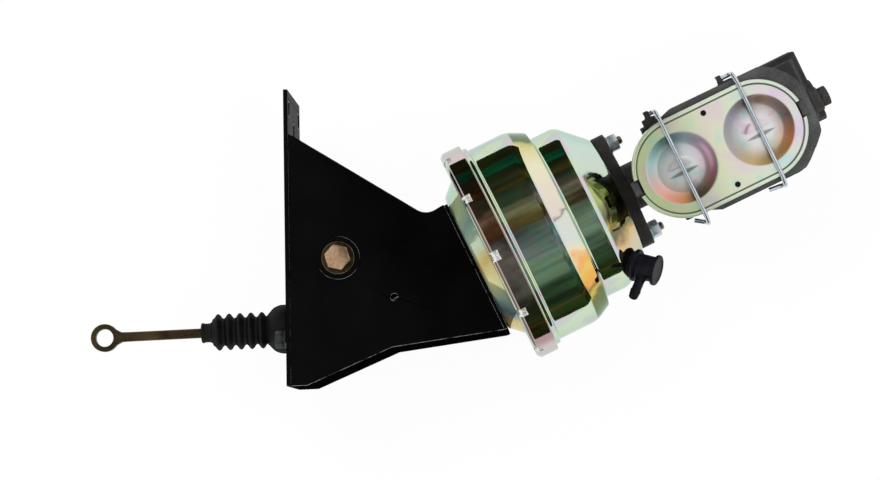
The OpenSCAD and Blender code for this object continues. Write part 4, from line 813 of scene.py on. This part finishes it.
def make_front_shell():
    """The crimped rim, drum, shoulder, step, nose, cone and flat front, with a smaller
    copy of the same line as its inside."""
    outside = rounded([
        (RIM_U + SHELL_T, REAR_R + 0.4, 0), (RIM_U, REAR_R + 0.8, 0.6), (RIM_U, RIM_R - RIM_BEVEL, 1.4),
        (RIM_U + RIM_BEVEL, RIM_R, 1.6), (RIM_END_U, RIM_R, 1.3), (RIM_END_U, DRUM_R + SWELL_RISE, 1.8),
        (RIM_END_U + SWELL_W, DRUM_R + SWELL_RISE, 2.0), (RIM_END_U + SWELL_W + 1.2, DRUM_R, 1.6),
        (SHOULDER_U, DRUM_R, 6), (STEP_U, SHOULDER_R, 1.6), (STEP_U + 1.5, NOSE_R, 2.2),
        (CONE_U, NOSE_R, 5), (CONE_END_U, CONE_R, 4), (FRONT_U, FRONT_FLAT_R, 3),
        (FRONT_U, PILOT_R, 0)
    ], 1)
    inside = [
        (FRONT_U - SHELL_T, PILOT_R), (FRONT_U - SHELL_T, FRONT_FLAT_R - 0.8),
        (CONE_END_U - 0.8, CONE_R - SHELL_T), (CONE_U - 0.8, NOSE_R - SHELL_T),
        (STEP_U + 0.2, NOSE_R - SHELL_T), (STEP_U - SHELL_T, SHOULDER_R - SHELL_T),
        (SHOULDER_U - 0.5, DRUM_R - SHELL_T), (RIM_END_U - SHELL_T, DRUM_R - SHELL_T),
        (RIM_END_U - SHELL_T, RIM_R - SHELL_T), (RIM_U + SHELL_T + 2.4, RIM_R - SHELL_T),
        (RIM_U + SHELL_T, RIM_R - SHELL_T - 2.4)
    ]
    # More rows along the rim's straight part, for the lances
    lance_rows = [LANCE_U + LANCE_W * k / 10 for k in range(-1, 12)]
    shell = []
    for point, after in zip(outside, outside[1:] + outside[:1]):
        shell.append(point)
        if abs(point[1] - RIM_R) < 0.01 and abs(after[1] - RIM_R) < 0.01:
            shell += [(u, RIM_R) for u in lance_rows if point[0] + 0.1 < u < after[0] - 0.1]
    outline = shell + inside

    def at(angle):
        off = off_lance(angle)
        across = 1 - smoothstep(LANCE_W / 2 - 0.9, LANCE_W / 2, abs(off))
        made = []
        for k, (u, r) in enumerate(outline):
            if k < len(shell) and r > RIM_R - RIM_BEVEL and u < LANCE_U + LANCE_W and across > 0:
                along = 1 - smoothstep(LANCE_U + LANCE_W - 0.8, LANCE_U + LANCE_W, u)
                past_hump = u - LANCE_U - LANCE_W * 0.55
                hump = max(0, 1 - (off / HUMP_R) ** 2) * max(0, 1 - (past_hump / HUMP_R) ** 2)
                r -= LANCE_D * across * along * (1 - 0.8 * hump)
            made.append((u, r))
        return made
    obj = piece("front_shell_skin", [lathe(at, 576)], BOOSTER, "bracket", "yellow_zinc", ["front_shell"], 50)
    obj.data.materials.append(MATERIALS["bright_stamp"])
    back = BOOSTER.inverted()
    for polygon in obj.data.polygons:
        u, v, w = (back @ polygon.center) / MM
        inside_lance = abs(off_lance(math.atan2(v, w))) < LANCE_W / 2 and LANCE_U < u < LANCE_U + LANCE_W
        if inside_lance and math.hypot(v, w) > RIM_R - SHELL_T - LANCE_D + 0.2:
            polygon.material_index = 1


def make_rear_shell():
    outline = rounded([
        (-COLLAR_LEN, COLLAR_R, 0.4), (-COLLAR_LEN, COLLAR_R + SHELL_T, 0.6), (0, COLLAR_R + SHELL_T, 0.6),
        (0, BACK_R, 3.5), (RIM_U + SHELL_T, REAR_R, 1.5), (RIM_U + SHELL_T, RIM_R - LIP_IN, 0.4),
        (RIM_U + 2 * SHELL_T, RIM_R - LIP_IN, 0.4), (RIM_U + 2 * SHELL_T, REAR_R - SHELL_T, 0.6),
        (SHELL_T, BACK_R - 0.7, 3), (SHELL_T, COLLAR_R, 0.4)
    ], 1, closed=True)
    piece("rear_shell_skin", [lathe(outline, 256)], BOOSTER, "bracket", "yellow_zinc", ["rear_shell"], 50)


# Studs, nuts and bolts


def washer_part(hole, radius, start, end, edge, steps=72):
    return lathe(rounded([(start, hole), (start, radius), (end, radius), (end, hole)], edge, 3, True), steps)


def make_front_fasteners():
    nuts, studs = [], []
    for v, turn in ((STUD_GAP / 2, 0.35), (-STUD_GAP / 2, 0.1)):
        place = moved(0, v, 0) @ turned(turn, "X")
        seat = FLANGE_FRONT_U + WASHER_T
        nuts.append(placed(washer_part(STUD_R + 0.1, NUT_AF / 2 + 1.2, FLANGE_FRONT_U, seat, 0.35), place))
        nuts.append(placed(hexagon(NUT_AF, STUD_R + 0.05, seat, seat + NUT_H), place))
        studs.append(placed(threaded(STUD_R, FRONT_U - SHELL_T, seat + NUT_H + STUD_TAIL), place))
    piece("front_nut_set", nuts, BOOSTER, "bracket", "grey_zinc", ["front_nuts"], 30)
    piece("front_stud_set", studs, BOOSTER, "bracket", "stud_bronze", ["front_studs"], 30)


def make_pivot():
    """The pivot bolt with its head, washers and nut."""
    facing = Matrix.Translation(PIVOT * MM) @ turned(-math.pi / 2, "Y")
    ring_t, washer_t, head_h, nut_h = 2.4, 2.4, 8.0, 11.0
    shank_r, washer_r, across = 6.35, 14.4, 20.6
    washer_z = HALF_W + ring_t
    head_z = washer_z + washer_t
    washers = [
        washer_part(shank_r + 0.25, washer_r, z, z + washer_t, 0.5, 96) for z in (washer_z, -head_z)
    ]
    look = ["pivot_washers"], 35, "washer_gold"
    piece("pivot_washer_pair", washers, facing, "bracket", "yellow_zinc", *look)
    head = hexagon(across, 0, head_z, head_z + head_h)
    shank = placed(threaded(shank_r, -head_z, head_z + nut_h + 4, 1.5), turned(math.pi, "Y"))
    bolt = [placed(head, turned(0.3, "X")), shank]
    piece("pivot_bolt_skin", bolt, facing, "bracket", "yellow_zinc", ["pivot_bolt"], 30, "gold_zinc")
    nut = hexagon(across, shank_r + 0.05, -head_z - nut_h, -head_z)
    piece("pivot_nut_skin", [nut], facing, "bracket", "yellow_zinc", ["pivot_nut"], 30, "gold_zinc")


def make_boot_bolts():
    across, head_h, collar_t, radius = 14.0, 8.0, 1.6, 4.0
    bolt_y, bolt_z = 11, 29
    seat = -RETAINER_T
    parts = []
    for s in (-1, 1):
        place = moved(0, ROD_Y - s * bolt_y * math.cos(ROD_ANGLE), s * bolt_z)
        collar = washer_part(radius, radius + 4, seat - collar_t, seat, 0.4)
        head = hexagon(across, 0, seat - collar_t - head_h, seat - collar_t)
        shank = threaded(radius, seat - collar_t, FIREWALL_T + 6)
        nut = hexagon(across, radius + 0.05, FIREWALL_T, FIREWALL_T + 5)
        parts += [placed(p, place) for p in (collar, head, shank, nut)]
    piece("boot_bolt_pair", parts, WORLD, "bracket", "dark_steel", ["boot_bolts"], 30)


# Check valve


def make_check_valve():
    stem_r, ring_r, ring_t, body_r, cap_r, cap_t, length = 7.0, 14.4, 5.1, 11.3, 13.7, 3.0, 20.4
    grommet_r, grommet_out, start = 12.0, 2.2, 2.5
    ring_end = start + ring_t
    cap_x = start + length
    face = cap_x + cap_t
    nozzle_x = start + length * 0.56
    nozzle_r, nozzle_len, barb = 4.25, 31.8, 1.2
    body = rounded([
        (-6.5, 0, 0), (-6.5, stem_r, 0.5), (start, stem_r, 0.3), (start, ring_r - 1.6, 0.6),
        (start + 0.9, ring_r - 0.6, 0.5), (start + 1.4, ring_r, 0.4), (ring_end - 1, ring_r, 0.9),
        (ring_end, ring_r - 1.4, 0.6), (ring_end, body_r, 0.9), (cap_x, body_r, 0.8),
        (cap_x, cap_r - 0.3, 0.4), (cap_x + 0.4, cap_r, 0.4), (face - 0.5, cap_r, 0.7),
        (face, cap_r - 1.1, 0.5), (face, body_r - 1, 0.4), (face - 0.5, body_r - 1.6, 0.4), (face - 0.5, 0, 0)
    ], 0.5, 4)
    nozzle = rounded([
        (2, 0, 0), (2, nozzle_r + 1.4, 0), (body_r - 0.6, nozzle_r + 1.4, 1.6), (body_r + 1.2, nozzle_r, 1.6),
        (nozzle_len - 8.5, nozzle_r, 0.6), (nozzle_len - 8, nozzle_r + barb * 0.45, 0.5),
        (nozzle_len - 1, nozzle_r - 0.3, 0.8), (nozzle_len, nozzle_r - 1.2, 0.4), (nozzle_len, 2.4, 0.3),
        (nozzle_len - 14, 2.4, 0), (nozzle_len - 14, 0, 0)
    ], 0.5, 4)
    down = moved(nozzle_x, 0, 0) @ turned(-math.pi / 2, "Z")
    parts = [lathe(body, 96), placed(lathe(nozzle, 48), down)]
    piece("check_valve_skin", parts, VALVE, "check_valve", "black_plastic", ["check_valve_body"], 40)
    grommet = rounded([
        (-5.2, stem_r + 0.05, 0.3), (-5.2, stem_r + 2.4, 0.6), (-2.7, stem_r + 2.4, 0.3),
        (-2.7, stem_r + 1.5, 0.2), (-0.2, stem_r + 1.5, 0.2), (-0.2, grommet_r, 0.8),
        (grommet_out, grommet_r, 0.9), (grommet_out, stem_r + 0.05, 0.3)
    ], 0.4, 4, True)
    piece("valve_grommet_skin", [lathe(grommet, 96)], VALVE, "bracket", "black_rubber", ["valve_grommet"], 40)


# Master cylinder


def lid_height(x, y, edge):
    """Height of the lid's upper face against its top: the folded rim, a groove inside it,
    and two dishes whose crowned floors hold a raised half moon and a pressed lens."""
    height = 0.0
    edge_r = 1.7
    if edge < edge_r:
        height -= edge_r - math.sqrt(max(edge_r ** 2 - (edge_r - edge) ** 2, 0))
    groove_at, groove_half = 3.9, 0.95
    height -= 0.75 * max(0, 1 - ((edge - groove_at) / groove_half) ** 2) ** 1.5
    height -= 0.25 * smoothstep(groove_at - groove_half, groove_at + groove_half, edge)
    for s in (-1, 1):
        dx = x - s * DISH_GAP / 2
        reach = math.hypot(dx, y)
        if reach < DISH_R + 2:
            wall = 1 - smoothstep(DISH_R - 10.5, DISH_R + 0.6, reach)
            floor = 0.5 * (1 - min(reach / 22, 1) ** 2)
            rise = LENS_RISE * max(1 - (dx / LENS_HALF) ** 2, 0.02)
            lens = 1 - smoothstep(0, 1, abs(y - LENS_V) / rise)
            far = math.hypot(dx, (y - MOON_V) * MOON_R / MOON_RISE)
            moon = smoothstep(0, 1.4, y - MOON_V) * (1 - smoothstep(MOON_R - 3, MOON_R, far))
            height += (0.6 * moon - 0.5 * lens + floor) * wall - (DISH_DEPTH - 0.3) * wall
    return height


def make_lid():
    """Rings of points from the lid's middle line out to its edge, down the rim and back
    under the sheet."""
    half_w, half_l = LID_W / 2, (LID_LEN - LID_W) / 2
    arc, side = 150, 70

    def ring(inset):
        """Points of the stadium that lies inset inside the lid's edge."""
        r = half_w - inset
        made = []
        for s in (1, -1):
            for i in range(arc):
                a = math.pi * (i / arc - 0.5)
                made.append((s * (half_l + r * math.cos(a)), s * r * math.sin(a)))
            for i in range(side):
                made.append((s * (half_l - 2 * half_l * i / side), s * r))
        return made
    insets = [half_w * (1 - (k / 74)) for k in range(1, 61)]
    insets += [insets[-1] * (1 - k / 44) for k in range(1, 45)]
    rows = [[(x, y, LID_TOP + lid_height(x, y, inset)) for x, y in ring(inset)] for inset in insets]
    foot = LID_TOP - LID_RIM_H
    skirt = (
        (0, LID_TOP - 3), (0, foot + 0.3), (0.4, foot), (LID_T - 0.3, foot), (LID_T, foot + 0.3),
        (LID_T, LID_TOP - LID_T - 2)
    )
    rows += [[(x, y, z) for x, y in ring(inset)] for inset, z in skirt]
    for inset in [2.4, 4, 6, 8] + [8 + (half_w - 8) * k / 20 for k in range(1, 20)]:
        rows.append([(x, y, LID_TOP - LID_T + lid_height(x, y, 9)) for x, y in ring(inset)])
    count = len(rows[0])
    verts = [(LID_U + x, y, z) for row in rows for x, y, z in row]
    faces = []
    for k in range(len(rows) - 1):
        for i in range(count):
            j = (i + 1) % count
            faces.append((k * count + i, k * count + j, (k + 1) * count + j, (k + 1) * count + i))
    # A strip joins the two straight halves of the first and the last ring, and a face
    # closes each of their round ends
    for first in (0, (len(rows) - 1) * count):
        lower = first + arc + side
        for i in range(side):
            upper, facing = first + arc + i, first + count - i
            faces.append((upper, upper + 1, facing - 1, facing if i else first))
        faces.append([first + i for i in range(arc + 1)])
        faces.append([lower + i for i in range(arc + 1)])
    obj = mesh_object("lid_skin", [(verts, faces)], BOOSTER)
    tab_half, tab_in = 7.5, 5.0
    cutters = []
    for s in (-1, 1):
        end = LID_U + s * LID_LEN / 2
        low, high = sorted((end - s * tab_in, end + s * 3))
        cutters.append(box_part((low, -tab_half, LID_TOP - 12), (high, tab_half, LID_TOP + 3)))
        vent = [(LID_TOP - 6, 0), (LID_TOP - 6, VENT_R), (LID_TOP + 3, VENT_R), (LID_TOP + 3, 0)]
        cutters.append(placed(lathe(vent, 40), moved(LID_U, s * VENT_V, 0) @ turned(-math.pi / 2, "Y")))
    cut(obj, cutters, BOOSTER)
    dress(obj, "bracket", "pale_zinc", ["lid"], 40)


def make_casting():
    obj = cast_copy("master_body", 0.95, 3)
    dress(obj, "bracket", "dark_cast_iron", ["master_body"], 60)
    boss_end = CAST_FRONT_U + FRONT_BOSS_LEN
    boss = [(BOSS_U, 0), (BOSS_U, FRONT_BOSS_R), (boss_end, FRONT_BOSS_R), (boss_end, 0)]
    front_plug = hexagon(FRONT_PLUG_AF, 0, boss_end, boss_end + FRONT_PLUG_LEN)
    side_plug = hexagon(SIDE_PLUG_AF, 0, CAST_FRONT_U, CAST_FRONT_U + SIDE_PLUG_LEN)
    parts = [
        placed(front_plug, moved(0, FRONT_PLUG_V, 0) @ turned(0.5, "X")),
        placed(lathe(boss, 48), moved(0, FRONT_PLUG_V, 0)),
        placed(side_plug, moved(0, SIDE_PLUG_V, SIDE_PLUG_W))
    ]
    piece("casting_plug_set", parts, BOOSTER, "bracket", "dark_cast_iron", ["casting_plugs"], 30)


def make_bails():
    top = LID_TOP + WIRE_R + 0.3
    for name, side, hook, lean in (("rear", -1, 9.3, 6.5), ("front", 1, 13.5, 1.4)):
        u = LID_U + side * DISH_GAP / 2 + BAIL_SHIFT
        path = rounded([
            (u - hook, LEG_V, LEG_W, 0), (u, LEG_V, LEG_W, 3.2), (u, LEG_V, top - CROWN_FALL, 3.5),
            (u, LEG_V - CROWN_IN, top, 3.5), (u, CROWN_IN - LEG_V, top, 3.5),
            (u, -LEG_V, top - CROWN_FALL, 3.5), (u, -LEG_V, LEG_W, 3.2), (u - hook, lean - LEG_V, LEG_W, 0)
        ], 3, 6)
        wire = [tube(path, WIRE_R, 5)]
        piece("bail_wire_" + name, wire, BOOSTER, name + "_bail", "bright_wire", ["bail_" + name], 60)


# Pedal side


def make_rod():
    obj = cast_copy("pedal_rod", 0.42, 4)
    dress(obj, "pedal_push_rod", "aged_bronze_zinc", ["pedal_rod"], 60)


def make_boot():
    steps = 14
    mean, depth = (FOLD_R + VALLEY_R) / 2, (FOLD_R - VALLEY_R) / 2
    cuff_x = FOLD_FOOT + FOLDS * FOLD_PITCH
    shoulder = -RETAINER_T - 0.3 - BOOT_FLANGE_R * math.sin(ROD_ANGLE)

    def folds(grow):
        made = []
        for i in range(FOLDS * steps + 1):
            wave = math.cos(2 * math.pi * i / steps)
            # Tips are a little sharper than valleys, as moulded rubber is
            sharp = -wave if wave > 0 else (-wave) ** 0.85
            made.append((-FOLD_FOOT - i * FOLD_PITCH / steps, mean + depth * sharp + grow))
        return made
    flange = shoulder - BOOT_FLANGE_T
    outside = rounded([
        (0, BOOT_LIP_R, 0), (shoulder, BOOT_LIP_R, 0.3), (shoulder, BOOT_FLANGE_R, 0.8),
        (flange, BOOT_FLANGE_R, 1.6), (flange - 6, BOOT_FLANGE_R - 2, 3), (-FOLD_FOOT + 1, VALLEY_R + 2, 1.2)
    ], 1)
    tip = -cuff_x - CUFF_LEN
    cuff = rounded([
        (-cuff_x - 1, CUFF_R + 0.4, 0), (-cuff_x - 3.2, CUFF_R - 0.5, 1), (tip + 3, CUFF_R - 0.5, 1),
        (tip + 2.2, CUFF_R, 0.6), (tip, CUFF_R, 0.9), (tip, ROD_R + 0.05, 0)
    ], 1)
    inside = [(-cuff_x, ROD_R + 0.05)] + folds(-BOOT_T)[::-1]
    inside += [(flange, BOOT_LIP_R - 4), (0, BOOT_LIP_R - 4)]
    outline = outside + folds(0)[1:] + cuff + inside
    obj = mesh_object("boot_skin", [lathe(outline, 128)], ROD)
    obj.data.materials.append(MATERIALS["black_rubber"])
    shade(obj, 50)
    start, end = point_at(ROD, -FOLD_FOOT), point_at(ROD, -cuff_x)
    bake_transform(obj)
    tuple(start)
    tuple(end)
    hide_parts("boot")


# Bracket's welds


def bead(points, radius, seed):
    """A weld bead along a line: a thin bar whose skin ripples."""
    a, b = (Vector(p) for p in points)
    steps = max(int((b - a).length / 1.5), 2)
    verts, faces = tube([a + (b - a) * i / steps for i in range(steps + 1)], radius, 3)
    made = []
    for v in verts:
        ripple = noise.noise(Vector(v) * 0.55 + Vector((seed, 0, 0))) * 0.35
        centre = a + (b - a) * max(0, min(1, (Vector(v) - a).dot(b - a) / (b - a).length_squared))
        made.append(tuple(centre + (Vector(v) - centre) * (1 + ripple)))
    return made, faces


def make_welds():
    inner = HALF_W - PLATE_T
    parts = []
    seed = 1
    foot = point_at(SEAT_FRAME, -PLATE_T - WELD_OUT, 8 - SEAT_FLOOR) / MM
    head = point_at(SEAT_FRAME, -PLATE_T - WELD_OUT, SEAT_UP - 4) / MM
    low, high = Vector((FIREWALL_T + WELD_OUT, -122, 0)), Vector((FIREWALL_T + WELD_OUT, 86, 0))
    for s in (-1, 1):
        z = s * (inner - WELD_OUT)
        for a, b in ((low, high), (foot, head)):
            parts.append(bead([(a.x, a.y, z), (b.x, b.y, z)], WELD_R, seed))
            seed += 7
    piece("weld_beads", parts, WORLD, "bracket", "black_paint", [], 60)


# Stage

# Dark cards arched over the booster, seen only in its reflections. Angles are degrees
# about the booster's axis from straight above, positive towards the firewall's top.
ARCH_R = 420
ARCH_START = -80
ARCH_END = 250
ARCH_HALF = 116
# Size of the waves in the bands' edges and of their darker patches
ARCH_WAVE = 1000 / 7
ARCH_PATCH = 1000 / 11
ARCH_BANDS = [
    (-114, 0.09, 0.12, 0.02), (-106, 0.022, 0.045, 0.008), (-88, 0.028, 0.052, 0.014),
    (-84, 0.11, 0.06, 0.02), (-80, 0.026, 0.05, 0.014), (-60, 0.04, 0.08, 0.04), (-44, 0.12, 0.18, 0.14),
    (-18, 0.19, 0.27, 0.23), (3, 0.15, 0.2, 0.17), (7, 0.1, 0.075, 0.03), (15, 0.1, 0.07, 0.025),
    (20, 0.2, 0.19, 0.13), (28, 0.16, 0.15, 0.1), (34, 0.05, 0.06, 0.035), (48, 0.03, 0.045, 0.028),
    (53, 0.1, 0.065, 0.015), (58, 0.024, 0.024, 0.012), (70, 0.012, 0.016, 0.008), (74, 0.004, 0.06, 0.032),
    (81, 0.004, 0.05, 0.026), (86, 0.014, 0.018, 0.006), (100, 0.02, 0.024, 0.006), (114, 0.03, 0.04, 0.01)
]


def card_bands():
    """The cards glow with bands by the angle about the booster's axis."""
    n = Nodes("card_bands")
    y, z = n.axes()[1:]
    angle = n.scaled(n.noise(ARCH_WAVE, 4), 0.5, n.math("ARCTAN2", y, z))
    # The waves turn the bands by 0.25 radians on the whole
    share = n.remap(angle, 0.25 - math.pi, 0.25 + math.pi)
    glow = n.new("ShaderNodeEmission")
    n.link(n.ramp(share, [(place / 360 + 0.5, *color) for place, *color in ARCH_BANDS]), glow.inputs["Color"])
    n.link(n.remap(n.noise(ARCH_PATCH, 3), 0.3, 0.7, 0.35, 1.5), glow.inputs["Strength"])
    n.tree.nodes.remove(n.shader)
    n.show(glow)
    return n.material


def hide_from_all_but_reflections(obj):
    obj.visible_camera = False
    obj.visible_diffuse = False
    obj.visible_shadow = False
    obj.visible_transmission = False
    obj.visible_volume_scatter = False


def make_arch():
    steps = 96
    half = math.radians(ARCH_HALF)
    verts = []
    for i in range(steps + 1):
        a = -half + 2 * half * i / steps
        for u in (ARCH_START, ARCH_END):
            verts.append((u, ARCH_R * math.sin(a), ARCH_R * math.cos(a)))
    faces = [(2 * i, 2 * i + 1, 2 * i + 3, 2 * i + 2) for i in range(steps)]
    obj = mesh_object("dark_cards", [(verts, faces)], WORLD)
    obj.matrix_world = SEAT_FRAME
    obj.data.materials.append(card_bands())
    hide_from_all_but_reflections(obj)


def floor_white():
    """Pale floor: nearly white where the camera or a mirror looks at it, with the object's
    shadow kept."""
    n = Nodes("floor_white")
    n.set(Base_Color=(0.9, 0.9, 0.9), Roughness=0.9, Specular_Ior_Level=0.0)
    path = n.new("ShaderNodeLightPath").outputs
    seen = n.math("MAXIMUM", path["Is Camera Ray"], path["Is Glossy Ray"])
    mix = n.new("ShaderNodeMixShader")
    n.link(n.times(seen, 0.95), mix.inputs["Fac"])
    n.link(n.shader.outputs[0], mix.inputs[1])
    n.link(n.new("ShaderNodeEmission").outputs[0], mix.inputs[2])
    n.show(mix)
    return n.material


def make_floor():
    gap, size = 0.5, 3000.0
    z = CAD_BOX[0].z / MM - gap
    corners = [(-size, -size, z), (size, -size, z), (size, size, z), (-size, size, z)]
    obj = mesh_object("floor", [(corners, [(0, 1, 2, 3)])], WORLD)
    obj.data.materials.append(floor_white())


def make_world():
    world = bpy.data.worlds.new("studio")
    world.use_nodes = True
    bpy.context.scene.world = world
    tree = world.node_tree
    background = tree.nodes["Background"]
    background.inputs["Color"].default_value = (1, 1, 1, 1)
    path = tree.nodes.new("ShaderNodeLightPath")
    lit = tree.nodes.new("ShaderNodeMapRange")
    lit.inputs["To Min"].default_value = 1.0
    lit.inputs["To Max"].default_value = 0.55
    tree.links.new(path.outputs["Is Diffuse Ray"], lit.inputs["Value"])
    tree.links.new(lit.outputs[0], background.inputs["Strength"])


LAMP_TARGET = (150, 0, 0)


def make_lamp(name, place, size, power):
    light = bpy.data.lights.new(name, "AREA")
    light.shape = "RECTANGLE"
    light.size = light.size_y = size
    light.energy = power
    obj = new_object(name, light)
    target = Vector(LAMP_TARGET) * MM
    obj.location = Vector(place) * MM
    obj.rotation_mode = "QUATERNION"
    obj.rotation_quaternion = (target - obj.location).to_track_quat("-Z", "Y")
    obj.visible_glossy = False


# Camera, fitted to the photograph
TILT = (-4.988, -2.528, 1.228)
SHIFT = (-134.548, -2.045)
DISTANCE = 2349.94
SCALE = 1.108
FRAME_W = 880


def make_camera():
    rx, ry, rz = (math.radians(t) for t in TILT)
    turn = (turned(rz, "Z") @ turned(ry, "Y") @ turned(rx, "X")).to_3x3().transposed()
    camera = bpy.data.cameras.new("camera")
    camera.sensor_width = 36
    camera.lens = SCALE * DISTANCE / FRAME_W * camera.sensor_width
    camera.clip_start, camera.clip_end = 0.1, 20
    obj = new_object("camera", camera)
    place = turn @ Vector((-SHIFT[0], -SHIFT[1], DISTANCE)) * MM
    obj.matrix_world = Matrix.Translation(place) @ turn.to_4x4()
    bpy.context.scene.camera = obj


make_camera()
dress_cad_nodes()
make_front_shell()
make_rear_shell()
make_front_fasteners()
make_pivot()
make_boot_bolts()
make_check_valve()
make_lid()
make_casting()
make_bails()
make_rod()
make_boot()
make_welds()
make_arch()
make_floor()
make_world()
make_lamp("key", (-500, 900, 1900), 1.2, 26)
make_lamp("fill", (900, -500, 1700), 1.0, 14)
bpy.context.scene.view_settings.view_transform = "Standard"

bpy.context.view_layer.update()
